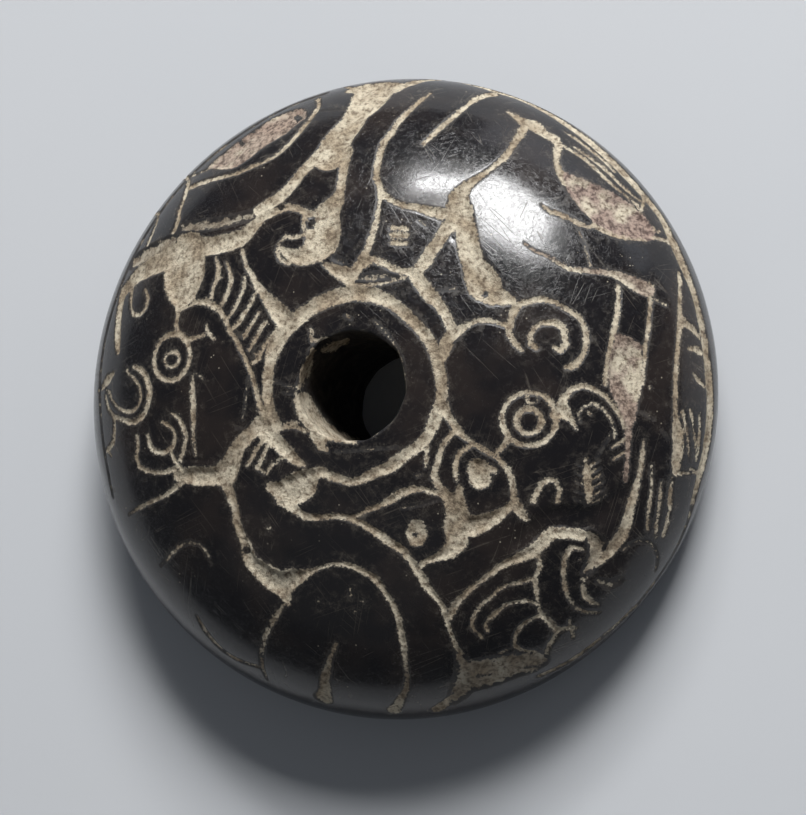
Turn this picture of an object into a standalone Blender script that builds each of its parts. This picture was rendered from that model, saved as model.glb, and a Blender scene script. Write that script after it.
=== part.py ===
"""A domed ceramic spindle whorl, turned round its bore and carved all over its top.

The whorl lies on its flat base with the bore upright along Z. The carving is drawn on a
plan of the skin: a point of the plan is given in thousandths of the skin's reach, which is
the way along the dome from the bore's axis out to the widest ring, and +Y is up the plan.
"""

import math

import bmesh
import bpy
from mathutils import Vector

# Driving dimensions, in metres
WHORL_RADIUS = 0.0190
BELLY_HEIGHT = 0.00335
DOME_RISE = 0.00938
FLANK_TUCK = 0.0032
BORE_RADIUS = 0.00306
BORE_CHAMFER = 0.00014
COLLAR_LAND = 0.0010
COLLAR_ROUND = 0.0004
COLLAR_PROUD = 0.00005
BORE_LEAN = Vector((-0.00011, -0.00033, 0.0))
LINE_DEPTH = 0.00030
POOL_DEPTH = 0.00055

# Facets
TURN_STEPS = 72
DOME_STEPS = 12
FLANK_STEPS = 5
REACH_STEPS = 240
STROKE_STEP = 110
BEND_STEP = math.radians(26)
RING_SIDES = 8
RING_SIDE_GAIN = 15
LINE_FACETS = 1
POOL_FACETS = 3
SHARP_ANGLE = math.radians(35)
KEPT_SHARE = 0.6
WELD = 0.00001

# Shares of the skin's reach, on the plan
PLAN = 1000
LINE_WIDTH = 22
BROAD_WIDTH = 33
POOL_WIDTH = 90
RING_WIDTH = 32

# Finish of the burnished ceramic
BURNISHED_BLACK = (0.022, 0.020, 0.021, 1.0)
BURNISHED_ROUGHNESS = 0.34

BORE_MOUTH = BORE_RADIUS + BORE_CHAMFER
COLLAR_RADIUS = BORE_MOUTH + COLLAR_LAND + COLLAR_ROUND
BASE_RADIUS = WHORL_RADIUS - FLANK_TUCK


def clear_scene():
    for old in list(bpy.data.objects):
        bpy.data.objects.remove(old, do_unlink=True)


def new_collection(name):
    collection = bpy.data.collections.new(name)
    bpy.context.scene.collection.children.link(collection)
    return collection


def ceramic():
    material = bpy.data.materials.new("burnished_black_ceramic")
    material.use_nodes = True
    shader = material.node_tree.nodes["Principled BSDF"]
    shader.inputs["Base Color"].default_value = BURNISHED_BLACK
    shader.inputs["Roughness"].default_value = BURNISHED_ROUGHNESS
    shader.inputs["Metallic"].default_value = 0.0
    return material


# The dome is a quarter of an ellipse, so its reach is summed up in short steps
def dome_point(turn):
    """Radius and height on the dome, from its crown at 0 to the widest ring at a quarter turn."""
    return WHORL_RADIUS * math.sin(turn), BELLY_HEIGHT + DOME_RISE * math.cos(turn)


def reach_table():
    reached = [0.0]
    before = dome_point(0)
    for step in range(1, REACH_STEPS + 1):
        here = dome_point(step / REACH_STEPS * math.pi / 2)
        reached.append(reached[-1] + math.dist(before, here))
        before = here
    return reached


REACHED = reach_table()
UNIT = REACHED[-1] / PLAN


def turn_at(share):
    """The dome's turn where that share of the whole reach is used up."""
    wanted = min(max(share, 0.0), 1.0) * REACHED[-1]
    step = next(i for i in range(1, REACH_STEPS + 1) if REACHED[i] >= wanted - WELD)
    part = (wanted - REACHED[step - 1]) / (REACHED[step] - REACHED[step - 1])
    return (step - 1 + part) / REACH_STEPS * math.pi / 2


def plan_radius(radius):
    """How far from the middle of the plan the dome has that radius."""
    step = math.asin(min(radius / WHORL_RADIUS, 1.0)) / (math.pi / 2) * REACH_STEPS
    low = min(int(step), REACH_STEPS - 1)
    return (REACHED[low] + (step - low) * (REACHED[low + 1] - REACHED[low])) / UNIT


def lean(point):
    """The bore stands a little off the middle of the belly, as in clay shaped by hand."""
    radius = math.hypot(point.x, point.y)
    share = (WHORL_RADIUS - radius) / (WHORL_RADIUS - COLLAR_RADIUS)
    return point + BORE_LEAN * min(max(share, 0.0), 1.0)


def skin(x, y, lift=0.0):
    """The point of the dome at a point of the plan, lifted off the skin."""
    turn = turn_at(math.hypot(x, y) / PLAN)
    bearing = math.atan2(y, x)
    radius, height = dome_point(turn)
    outward = Vector((DOME_RISE * math.sin(turn), WHORL_RADIUS * math.cos(turn))).normalized()
    radius += outward.x * lift
    height += outward.y * lift
    return lean(Vector((radius * math.cos(bearing), radius * math.sin(bearing), height)))


# Shapes on the plan, each a list of (x, y, width)
def arc(x, y, radius, width, start=0, end=360):
    """A round arc, counter-clockwise from start to end in degrees, with more sides the wider it is."""
    steps = math.ceil((RING_SIDES + radius / RING_SIDE_GAIN) * (end - start) / 360)
    turns = [math.radians(start + (end - start) * i / steps) for i in range(steps + 1)]
    return [(x + radius * math.cos(t), y + radius * math.sin(t), width) for t in turns]


def mix(a, b, share):
    return a + (b - a) * share


def bend(before, here, there, after, t):
    """One coordinate of a smooth line through four knots, between the middle two."""
    return 0.5 * (
        2 * here
        + (there - before) * t
        + (2 * before - 5 * here + 4 * there - after) * t**2
        + (3 * here - before - 3 * there + after) * t**3
    )


def flow(*knots):
    """A smooth line through the knots, whose width changes evenly from knot to knot."""
    first = [2 * a - b for a, b in zip(knots[0], knots[1])]
    last = [2 * b - a for a, b in zip(knots[-2], knots[-1])]
    row = [first, *knots, last]
    points = []
    for before, here, there, after in zip(row, row[1:], row[2:], row[3:]):
        start = Vector(there[:2]) - Vector(before[:2])
        end = Vector(after[:2]) - Vector(here[:2])
        length = math.dist(here[:2], there[:2])
        count = max(1, round(start.angle(end) / BEND_STEP), round(length / STROKE_STEP))
        for step in range(count):
            t = step / count
            x, y = (bend(*(knot[k] for knot in (before, here, there, after)), t) for k in (0, 1))
            points.append((x, y, mix(here[2], there[2], t)))
    return [*points, tuple(knots[-1])]


def even(width, *places):
    """A smooth line of one width."""
    return flow(*((x, y, width) for x, y in places))


def comb(teeth, start, end, widths, bow=0.0):
    """Teeth laid side by side from one line to another. The bow fades out tooth by tooth."""
    for tooth in range(teeth):
        share = tooth / (teeth - 1)
        one = [mix(a, b, share) for a, b in zip(*start)]
        other = [mix(a, b, share) for a, b in zip(*end)]
        middle = [(a + b) / 2 for a, b in zip(one, other)]
        middle[0] += bow * (1 - share)
        yield flow((*one, widths[0]), (*middle, widths[1]), (*other, widths[2]))


# The carving, part by part
def collar_ring():
    middle = plan_radius(COLLAR_RADIUS) + RING_WIDTH / 2
    yield arc(2, -8, middle, RING_WIDTH, -104, 214)


def crown_fork():
    """The broad fork at the top, its two prongs round a dark island, and the link below."""
    yield flow((-42, 885, 150), (-42, 800, 100), (-66, 720, 76), (-90, 640, 74), (-112, 608, 50))
    yield flow((-122, 626, 40), (-172, 556, 34), (-202, 513, 36), (-240, 488, 44), (-290, 462, 60),
               (-350, 446, 34), (-500, 436, 24), (-640, 410, 30), (-705, 388, 40))
    yield flow((-72, 610, 40), (-68, 550, 30), (-68, 490, 28), (-78, 440, 44))
    yield flow((-238, 472, 34), (-190, 446, 22), (-145, 438, 26), (-105, 428, 40))


def curled_hook():
    yield flow((-92, 452, 70), (-95, 412, 92), (-86, 370, 78), (-108, 335, 60), (-152, 322, 44),
               (-196, 332, 28), (-214, 356, 16), (-198, 380, 14))


def left_pool():
    """The big deep pool that tapers down to a point over the left eye."""
    yield flow((-318, 382, 40), (-360, 376, 52), (-430, 374, 62), (-520, 350, 104),
               (-620, 350, 96), (-710, 346, 88), (-780, 340, 56))
    yield flow((-498, 350, 120), (-490, 290, 100), (-497, 240, 56), (-502, 202, 20))


def cushion_lines():
    """The lines over and beside the plain raised cushion on the upper left."""
    yield flow((-545, 578, 20), (-400, 590, 24), (-330, 606, 24), (-268, 628, 24), (-226, 676, 28),
               (-196, 718, 30), (-180, 765, 28), (-196, 815, 20), (-236, 852, 14))
    yield flow((-566, 430, 24), (-562, 490, 28), (-570, 540, 24), (-584, 598, 22), (-640, 655, 16))
    yield even(18, (-738, 545), (-680, 515), (-664, 475), (-674, 410))


def shell_pool():
    yield flow((-500, 652, 50), (-430, 676, 110), (-350, 708, 140), (-282, 752, 120), (-262, 790, 60))


def left_beast():
    """The round eye and the hooked jaws of the beast on the left."""
    yield arc(-520, 82, 61, 20)
    yield arc(-513, 80, 27, 14)
    yield flow((-502, 200, 18), (-506, 172, 14), (-494, 150, 14), (-452, 130, 18))
    yield even(16, (-702, 300), (-694, 240), (-660, 200), (-626, 206), (-612, 235), (-632, 268))
    yield flow((-742, 290, 36), (-738, 220, 40), (-728, 160, 38), (-722, 118, 30))
    yield flow((-830, 16, 16), (-780, 30, 30), (-745, 48, 24))
    yield flow((-650, 70, 16), (-615, 48, 20), (-590, 15, 24), (-585, -20, 24), (-602, -58, 22),
               (-640, -82, 22), (-700, -72, 20), (-778, -8, 14))
    yield even(13, (-682, 62), (-620, 2), (-624, -30), (-660, -52), (-712, -36), (-748, -6))
    yield flow((-440, 14, 20), (-442, -45, 22), (-434, -100, 20), (-437, -168, 12))
    yield flow((-504, -62, 12), (-478, -84, 16), (-462, -130, 16), (-470, -178, 14))
    yield even(16, (-544, -84), (-500, -138), (-530, -162), (-570, -166), (-594, -146), (-594, -114))
    yield even(16, (-634, -120), (-640, -170), (-590, -216), (-545, -216), (-480, -204))
    yield even(18, (-522, -162), (-476, -206))


def comb_band():
    """The toothed band that runs down from the left pool to the collar."""
    yield flow((-500, 200, 12), (-470, 216, 14), (-440, 224, 14), (-405, 210, 18), (-330, 130, 18),
               (-272, 52, 22), (-256, 0, 22), (-246, -50, 20))
    yield flow((-316, 352, 16), (-296, 300, 18), (-262, 256, 22), (-226, 218, 30), (-190, 184, 44))
    yield from comb(3, ((-402, 344), (-300, 296)), ((-418, 232), (-352, 176)), (14, 14, 14), 24)
    yield from comb(4, ((-262, 238), (-212, 112)), ((-322, 158), (-272, 62)), (12, 14, 14))


def left_junction():
    """The pool where the lower jaw meets the collar, its tail and the line that goes down."""
    yield flow((-486, -224, 24), (-430, -226, 50), (-370, -224, 50), (-326, -204, 58),
               (-298, -164, 50), (-238, -112, 44))
    yield flow((-206, 120, 30), (-224, 10, 24), (-222, -50, 26), (-226, -95, 40), (-236, -125, 56))
    yield flow((-478, -238, 22), (-550, -268, 18), (-620, -300, 14), (-704, -334, 12))
    yield flow((-205, -105, 24), (-172, -132, 30), (-126, -188, 26))
    yield from comb(3, ((-248, -146), (-206, -182)), ((-272, -192), (-234, -214)), (12, 14, 12))


def lower_left_pool():
    yield flow((-352, -236, 40), (-332, -300, 28), (-318, -370, 26), (-298, -415, 34),
               (-278, -448, 46), (-232, -484, 62), (-186, -492, 52), (-150, -478, 30))
    yield flow((-206, -505, 40), (-222, -560, 22), (-294, -670, 20), (-322, -740, 24), (-332, -806, 12))


def fan_lines():
    """The long lines that fan out over the plain lower side."""
    yield flow((-150, -478, 26), (-70, -450, 20), (-30, -446, 22), (10, -458, 22), (52, -492, 24),
               (78, -545, 22), (94, -600, 20), (102, -650, 16), (98, -700, 14), (90, -765, 14),
               (68, -835, 22), (30, -905, 40))
    yield flow((-78, -660, 12), (-134, -780, 24), (-150, -840, 40), (-162, -900, 60))
    yield even(12, (-560, -446), (-512, -410), (-456, -398), (-424, -430))


def under_collar():
    """The pool under the collar and the two lines that leave it for the lobes."""
    yield flow((-206, -240, 30), (-176, -252, 56), (-130, -258, 88), (-92, -228, 40),
               (-44, -222, 26), (-4, -208, 16))
    yield flow((-196, -272, 20), (-140, -306, 18), (-80, -322, 18), (-10, -324, 18), (50, -308, 20),
               (110, -282, 20), (165, -256, 22), (212, -262, 24), (240, -300, 26), (258, -352, 40))
    yield flow((-20, -326, 18), (50, -352, 20), (108, -396, 22), (142, -446, 22), (166, -500, 24),
               (208, -560, 20), (220, -620, 14), (246, -712, 16))


def lobes():
    """Two rounded lobes with a dot in each, and the pool between them."""
    yield flow((166, -348, 46), (156, -384, 50))
    yield flow((320, -208, 60), (322, -222, 62))
    yield flow((276, -258, 16), (268, -300, 40), (264, -350, 70), (262, -388, 60), (236, -412, 36),
               (200, -430, 22), (158, -446, 18))
    yield flow((290, -358, 56), (346, -326, 44), (388, -306, 36), (412, -326, 34), (434, -346, 14))
    yield flow((338, -184, 16), (376, -190, 18), (392, -230, 20), (398, -276, 20), (384, -318, 18))
    yield flow((236, -60, 20), (262, -120, 18), (306, -158, 18), (352, -190, 16))
    yield from comb(3, ((206, -108), (286, -152)), ((180, -196), (258, -236)), (18, 16, 12), -6)


def right_beast():
    """The round eye, the brow and the small hook of the beast on the right."""
    yield arc(440, -90, 66, 15)
    yield arc(435, -94, 33, 16)
    yield flow((378, -136, 14), (372, -162, 14), (356, -176, 12))
    yield flow((496, -66, 12), (516, -72, 28), (526, -92, 20), (548, -108, 10))
    yield flow((516, -56, 26), (532, -20, 20), (566, -2, 18), (604, -8, 16), (636, -36, 16),
               (660, -80, 18), (672, -130, 22), (678, -190, 18), (672, -252, 16))
    yield flow((572, -186, 18), (576, -235, 40), (582, -304, 14))
    yield even(14, (438, -294), (458, -252), (488, -238), (508, -264), (508, -300))


def snout_scroll():
    yield flow((228, 108, 40), (268, 134, 26), (310, 152, 16), (388, 148, 14))
    yield flow((398, 196, 16), (390, 150, 16), (392, 110, 16), (416, 82, 12))
    yield even(16, (396, 198), (440, 210), (492, 202), (538, 178), (566, 136), (570, 92), (530, 40))
    yield even(15, (452, 90), (434, 104), (446, 140), (484, 154), (518, 134), (520, 96), (498, 82))


def long_pool():
    """The long pool on the right of the crown, with the line that climbs from it."""
    yield flow((262, 500, 16), (232, 446, 60), (246, 390, 80), (268, 334, 68), (284, 290, 72),
               (314, 246, 86), (352, 215, 60), (398, 200, 24))
    yield flow((48, 492, 14), (96, 462, 14), (150, 448, 16), (208, 428, 30))
    yield flow((262, 504, 14), (310, 552, 14), (348, 604, 18), (374, 655, 22), (400, 704, 26))


def dotted_box():
    """The dark box with a square dot, and the second arc outside the collar."""
    yield flow((42, 484, 18), (44, 430, 16), (36, 370, 18), (20, 324, 20), (0, 288, 26))
    yield flow((20, 304, 20), (80, 298, 16), (132, 280, 18), (170, 298, 26), (206, 344, 24), (232, 386, 30))
    yield even(26, (90, 392), (95, 360))
    yield even(26, (106, 392), (112, 360))
    yield flow((140, 276, 26), (190, 236, 24), (222, 184, 24), (246, 136, 24), (222, 100, 30))
    yield flow((-90, 312, 14), (-48, 286, 26), (0, 276, 34), (22, 300, 20))
    yield even(28, (-14, 268), (-40, 240))


def crown_strokes():
    yield flow((122, 822, 12), (100, 780, 18), (74, 720, 22), (44, 656, 22), (28, 600, 22),
               (26, 546, 20), (44, 488, 18))
    yield flow((134, 628, 12), (166, 682, 16), (206, 742, 20), (252, 812, 20), (296, 880, 34))
    yield flow((344, 770, 12), (390, 734, 26), (430, 708, 36), (474, 676, 30), (490, 636, 26),
               (492, 592, 22), (512, 556, 24))
    yield even(13, (496, 664), (540, 636), (590, 602), (638, 568))
    yield from comb(2, ((508, 726), (528, 668)), ((612, 652), (622, 600)), (13, 13, 13))
    yield from comb(2, ((640, 560), (664, 572)), ((708, 508), (718, 530)), (11, 11, 11))


def mottled_pool():
    yield flow((526, 542, 50), (572, 498, 92), (640, 457, 130), (704, 430, 96))
    yield flow((735, 404, 14), (780, 410, 16), (836, 398, 22))
    yield flow((452, 468, 20), (500, 440, 14), (546, 418, 14), (572, 408, 16))


def ladder():
    """The upright panel with a pool in its foot and a patch at its head."""
    yield flow((418, 346, 12), (480, 312, 12), (540, 294, 12), (600, 290, 14), (648, 276, 22))
    yield flow((650, 272, 24), (684, 260, 46), (716, 250, 48), (734, 244, 40))
    yield even(14, (654, 256), (648, 200), (640, 140), (630, 80), (622, 20), (622, -8))
    yield even(16, (740, 228), (732, 150), (724, 90), (718, 30), (706, -40), (690, -96))
    yield flow((668, 118, 56), (672, 60, 84), (672, 0, 82), (676, -56, 62), (680, -112, 34), (680, -160, 22))


def right_panel():
    yield flow((842, 330, 22), (840, 260, 18), (830, 200, 18), (815, 60, 18), (806, -60, 20),
               (814, -120, 34), (818, -180, 34), (812, -240, 26))
    yield flow((812, -220, 20), (868, -230, 12), (940, -236, 12))
    yield flow((834, 176, 14), (880, 164, 24), (930, 138, 20))
    yield flow((856, 106, 12), (896, 106, 18), (935, 100, 22))
    yield flow((868, 38, 12), (898, 18, 14), (940, 0, 16))
    yield flow((722, -138, 12), (716, -200, 14), (706, -256, 14), (698, -316, 18))
    yield from comb(3, ((744, -200), (808, -240)), ((740, -382), (802, -404)), (12, 12, 12))


def lower_right_pools():
    """The two deep crests on the lower right, the curl between them and the arcs beside them."""
    yield flow((216, -590, 14), (256, -540, 26), (310, -492, 24), (370, -452, 26), (430, -426, 36),
               (478, -392, 42), (530, -378, 42), (588, -384, 36))
    yield flow((702, -316, 26), (694, -360, 44), (672, -402, 60), (628, -442, 52), (592, -480, 36),
               (570, -516, 26), (576, -556, 20), (608, -586, 16))
    yield even(13, (548, -404), (520, -446), (518, -500), (534, -560), (600, -604))
    yield flow((452, -424, 14), (446, -480, 16), (446, -530, 16), (458, -584, 18), (504, -652, 24))
    yield even(12, (640, -440), (696, -410), (748, -422), (776, -466), (782, -520))
    yield even(13, (450, -490), (386, -502), (326, -540), (286, -590), (306, -648))
    yield even(13, (442, -556), (396, -544), (344, -570), (318, -632))
    yield even(13, (456, -596), (406, -612), (378, -656), (416, -718))
    yield even(16, (500, -652), (478, -680), (466, -714))
    yield flow((170, -905, 24), (214, -845, 50), (276, -780, 120), (350, -752, 116), (424, -742, 90),
               (462, -712, 40))


def belly_line():
    """The line round the belly that closes the carved field, nearer the bore on the left."""
    bearings = (0, 30, 48, 62, 90, 140, 170, 200, 230, 270, 300, 335, 360)
    reaches = (935, 928, 918, 934, 900, 850, 830, 830, 836, 905, 935, 965, 935)
    widths = (34, 40, 56, 50, 30, 26, 26, 26, 30, 26, 28, 34, 34)
    places = [(r * math.cos(math.radians(b)), r * math.sin(math.radians(b)))
              for b, r in zip(bearings, reaches)]
    yield flow(*((x, y, width) for (x, y), width in zip(places, widths)))


CARVING = (
    collar_ring, crown_fork, curled_hook, left_pool, cushion_lines, shell_pool, left_beast,
    comb_band, left_junction, lower_left_pool, fan_lines, under_collar, lobes, right_beast,
    snout_scroll, long_pool, dotted_box, crown_strokes, mottled_pool, ladder, right_panel,
    lower_right_pools, belly_line,
)


def depth_of(width):
    """Narrow lines are scratched, pools are scooped deeper, and none is deeper than half its width."""
    share = min(max((width - LINE_WIDTH) / (POOL_WIDTH - LINE_WIDTH), 0.0), 1.0)
    return min(mix(LINE_DEPTH, POOL_DEPTH, share), width * UNIT / 2)


def gouge(name, stroke, cutters):
    """A round-nosed gouge that follows the skin, standing proud so that it cuts the stroke's width."""
    widest = max(width for x, y, width in stroke)
    curve = bpy.data.curves.new(name, "CURVE")
    curve.dimensions = "3D"
    curve.bevel_depth = 1.0
    curve.bevel_resolution = POOL_FACETS if widest > BROAD_WIDTH else LINE_FACETS
    curve.use_fill_caps = True
    spline = curve.splines.new("POLY")
    spline.points.add(len(stroke) - 1)
    for point, (x, y, width) in zip(spline.points, stroke):
        half = width * UNIT / 2
        depth = depth_of(width)
        nose = (half**2 + depth**2) / (2 * depth)
        point.co = (*skin(x, y, nose - depth), 1.0)
        point.radius = nose
    path = bpy.data.objects.new(name + "_path", curve)
    cutters.objects.link(path)
    bpy.context.view_layer.update()
    graph = bpy.context.evaluated_depsgraph_get()
    mesh = bpy.data.meshes.new_from_object(path.evaluated_get(graph))
    shape = bmesh.new()
    shape.from_mesh(mesh)
    bmesh.ops.remove_doubles(shape, verts=shape.verts, dist=WELD)
    shape.to_mesh(mesh)
    shape.free()
    cutter = bpy.data.objects.new(name, mesh)
    cutter.matrix_world = path.matrix_world
    bpy.data.objects.remove(path, do_unlink=True)
    cutters.objects.link(cutter)
    cutter.hide_render = True
    cutter.display_type = "WIRE"
    return cutter


def profile():
    """The whorl's section, down its outer side from the collar and back up the bore."""
    collar_turn = math.asin(COLLAR_RADIUS / WHORL_RADIUS)
    top = dome_point(collar_turn)[1] + COLLAR_PROUD
    section = [(BORE_RADIUS, top - BORE_CHAMFER), (BORE_MOUTH, top), (BORE_MOUTH + COLLAR_LAND, top)]
    for step in range(DOME_STEPS + 1):
        section.append(dome_point(mix(collar_turn, math.pi / 2, step / DOME_STEPS)))
    for step in range(1, FLANK_STEPS + 1):
        tuck = step / FLANK_STEPS * math.pi / 2
        section.append((BASE_RADIUS + FLANK_TUCK * math.cos(tuck), BELLY_HEIGHT * (1 - math.sin(tuck))))
    section += [(BORE_MOUTH, 0.0), (BORE_RADIUS, BORE_CHAMFER)]
    return section


def turned_body(collection):
    """The plain whorl as it leaves the potter's hands, before it is carved."""
    section = profile()
    mesh = bpy.data.meshes.new("section")
    count = len(section)
    mesh.from_pydata([(r, 0, z) for r, z in section], [(i, (i + 1) % count) for i in range(count)], [])
    blank = bpy.data.objects.new("blank", mesh)
    collection.objects.link(blank)
    screw = blank.modifiers.new("turn", "SCREW")
    screw.steps = TURN_STEPS
    screw.render_steps = TURN_STEPS
    screw.use_merge_vertices = True
    screw.merge_threshold = WELD
    bpy.context.view_layer.update()
    graph = bpy.context.evaluated_depsgraph_get()
    turned = bpy.data.meshes.new_from_object(blank.evaluated_get(graph))
    bpy.data.objects.remove(blank, do_unlink=True)
    for vertex in turned.vertices:
        vertex.co = lean(vertex.co)
    body = bpy.data.objects.new("whorl", turned)
    collection.objects.link(body)
    return body


def carve(body, cutters):
    """Takes every gouge out of the body, then thins the slivers that the cuts leave."""
    cut = body.modifiers.new("carving", "BOOLEAN")
    cut.operation = "DIFFERENCE"
    cut.solver = "EXACT"
    cut.operand_type = "COLLECTION"
    cut.collection = cutters
    cut.use_self = True
    thin = body.modifiers.new("thinning", "DECIMATE")
    thin.ratio = KEPT_SHARE
    thin.use_collapse_triangulate = True
    bpy.context.view_layer.update()
    graph = bpy.context.evaluated_depsgraph_get()
    carved = bpy.data.meshes.new_from_object(body.evaluated_get(graph))
    body.modifiers.clear()
    body.data = carved


def build():
    clear_scene()
    whorl_parts = new_collection("spindle_whorl")
    cutters = new_collection("carving_cutters")
    body = turned_body(whorl_parts)
    for region in CARVING:
        for number, stroke in enumerate(region(), 1):
            gouge(f"{region.__name__}_{number}", stroke, cutters)
    carve(body, cutters)
    body.data.name = "whorl"
    body.data.materials.clear()
    body.data.materials.append(ceramic())
    body.data.shade_smooth()
    body.data.set_sharp_from_angle(angle=SHARP_ANGLE)


build()
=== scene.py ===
# %% [markdown]
# # A carved spindle whorl
#
# A spindle whorl is a small flywheel of fired clay. A wooden spindle goes through its bore, and
# the whorl keeps it turning while thread is spun. This one is a low dome, blackened in a smoky
# fire, rubbed to a gloss before it was fired, and then cut with lines and pools. Pale earth from
# the ground that it lay in still fills the cuts.
#
# The CAD model gives the size and the place. Every measure here starts from it.

import math

import bmesh
import bpy
import numpy as np
from mathutils import Matrix, Vector, noise


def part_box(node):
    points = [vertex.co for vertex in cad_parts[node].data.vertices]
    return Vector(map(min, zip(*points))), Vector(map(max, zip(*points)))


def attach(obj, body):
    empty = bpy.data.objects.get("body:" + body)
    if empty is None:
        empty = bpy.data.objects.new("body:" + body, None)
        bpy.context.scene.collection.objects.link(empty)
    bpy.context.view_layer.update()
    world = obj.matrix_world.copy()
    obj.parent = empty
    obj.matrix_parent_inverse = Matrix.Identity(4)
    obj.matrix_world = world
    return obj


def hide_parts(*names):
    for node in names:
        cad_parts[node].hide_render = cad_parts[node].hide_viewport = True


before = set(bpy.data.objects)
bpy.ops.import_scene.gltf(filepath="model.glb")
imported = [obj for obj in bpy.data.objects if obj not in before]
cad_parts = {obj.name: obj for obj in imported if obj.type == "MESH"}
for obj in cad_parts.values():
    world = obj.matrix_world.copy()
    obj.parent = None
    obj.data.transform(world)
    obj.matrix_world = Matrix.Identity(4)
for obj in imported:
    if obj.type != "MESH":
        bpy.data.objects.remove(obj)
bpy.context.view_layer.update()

MM = 0.001
low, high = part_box("whorl")
WHORL_RADIUS = (high[0] - low[0]) / 2
WHORL_HEIGHT = high[2] - low[2]
print(f"the whorl is {2 * WHORL_RADIUS / MM:.1f} mm across and {WHORL_HEIGHT / MM:.1f} mm high")

# %% [markdown]
# ## The section
#
# A turned form is fully described by its section: the line that a saw cut through the axis would
# show. Ours runs out over the dome, which is a quarter of an ellipse, tucks in under the widest
# ring, crosses the flat base and climbs back up the bore.
#
# The way along the dome is measured once, in small steps, since the length of an ellipse has no
# simple formula. The drawing of the carving uses it too.

# %% The section's sizes
BELLY_HEIGHT = 3.35 * MM
DOME_RISE = 9.38 * MM
FLANK_TUCK = 3.2 * MM
BORE_RADIUS = 3.06 * MM
MOUTH_ROUND = 0.18 * MM
SEGMENTS = 224
FLANK_STEPS = 12
BASE_STEPS = 12
BORE_STEPS = 24
ROUND_STEPS = 6
QUARTER = math.pi / 2

MOUTH_RADIUS = BORE_RADIUS + MOUTH_ROUND
BASE_RADIUS = WHORL_RADIUS - FLANK_TUCK


def dome_point(turn):
    """Radius and height on the dome, from the crown at 0 to the widest ring at a quarter turn."""
    return WHORL_RADIUS * np.sin(turn), BELLY_HEIGHT + DOME_RISE * np.cos(turn)


def mix(a, b, share):
    return a + (b - a) * share


TURNS = np.linspace(0, QUARTER, 1000)
RADII, HEIGHTS = dome_point(TURNS)
REACHED = np.concatenate([[0], np.cumsum(np.hypot(np.diff(RADII), np.diff(HEIGHTS)))])
MOUTH_TURN = math.asin(MOUTH_RADIUS / WHORL_RADIUS)
MOUTH_TOP = dome_point(MOUTH_TURN)[1]
print(f"the skin reaches {REACHED[-1] / MM:.1f} mm from the axis to the widest ring")

# %% [markdown]
# ## The section's points
#
# The steps along the dome grow with the radius. Each step is as long as one facet is wide there,
# so that the skin is made of near-squares, which shade more evenly than long thin facets do. The
# two ends of the bore are rounded, because a knife-sharp edge catches no light.

# %% Lay the points of the section
def section_points():
    """The whole section as (radius, height), from the mouth of the bore outwards and back."""
    points = []
    reach = np.interp(MOUTH_TURN, TURNS, REACHED)
    while reach < REACHED[-1]:
        radius, height = dome_point(np.interp(reach, REACHED, TURNS))
        points.append((radius, height))
        reach += 2 * math.pi * radius / SEGMENTS
    for step in range(FLANK_STEPS + 1):
        tuck = QUARTER * step / FLANK_STEPS
        points.append((BASE_RADIUS + FLANK_TUCK * math.cos(tuck), BELLY_HEIGHT * (1 - math.sin(tuck))))
    for step in range(1, BASE_STEPS):
        points.append((mix(BASE_RADIUS, MOUTH_RADIUS, step / BASE_STEPS), 0.0))
    for step in range(ROUND_STEPS + 1):
        turn = QUARTER * step / ROUND_STEPS
        points.append((MOUTH_RADIUS - MOUTH_ROUND * math.sin(turn), MOUTH_ROUND * (1 - math.cos(turn))))
    for step in range(1, BORE_STEPS):
        points.append((BORE_RADIUS, mix(MOUTH_ROUND, MOUTH_TOP - MOUTH_ROUND, step / BORE_STEPS)))
    for step in range(ROUND_STEPS):
        turn = QUARTER * step / ROUND_STEPS
        points.append((MOUTH_RADIUS - MOUTH_ROUND * math.cos(turn),
                       MOUTH_TOP - MOUTH_ROUND * (1 - math.sin(turn))))
    return points


section = section_points()
print(len(section), "points in the section")

# %% [markdown]
# ## Building node trees
#
# Both Geometry Nodes and materials are trees of nodes. One helper adds a node to either kind: it
# first sets what kind of node it is, because that can change which sockets there are, and then
# gives each socket a value or a link. A socket is named by its identifier, which stays the same
# where two sockets share one label.

# %% One way to add any node
def socket_of(sockets, key):
    return sockets[key] if isinstance(key, int) else next(s for s in sockets if s.identifier == key)


def add_node(tree, kind, settings=None, inputs=None):
    """Adds a node, sets its settings, then gives its sockets their values or links."""
    node = tree.nodes.new(kind)
    for name, value in (settings or {}).items():
        setattr(node, name, value)
    for key, value in (inputs or {}).items():
        if isinstance(value, bpy.types.NodeSocket):
            tree.links.new(value, socket_of(node.inputs, key))
        else:
            socket_of(node.inputs, key).default_value = value
    return node


def shape_tree(name, inputs):
    """A Geometry Nodes tree that takes a mesh and these named inputs, and gives a mesh back."""
    tree = bpy.data.node_groups.new(name, "GeometryNodeTree")
    tree.interface.new_socket("Geometry", in_out="INPUT", socket_type="NodeSocketGeometry")
    for label, (kind, value) in inputs.items():
        socket = tree.interface.new_socket(label, in_out="INPUT", socket_type=kind)
        if value is not None:
            socket.default_value = value
    tree.interface.new_socket("Geometry", in_out="OUTPUT", socket_type="NodeSocketGeometry")
    return tree, add_node(tree, "NodeGroupInput"), add_node(tree, "NodeGroupOutput")


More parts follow.
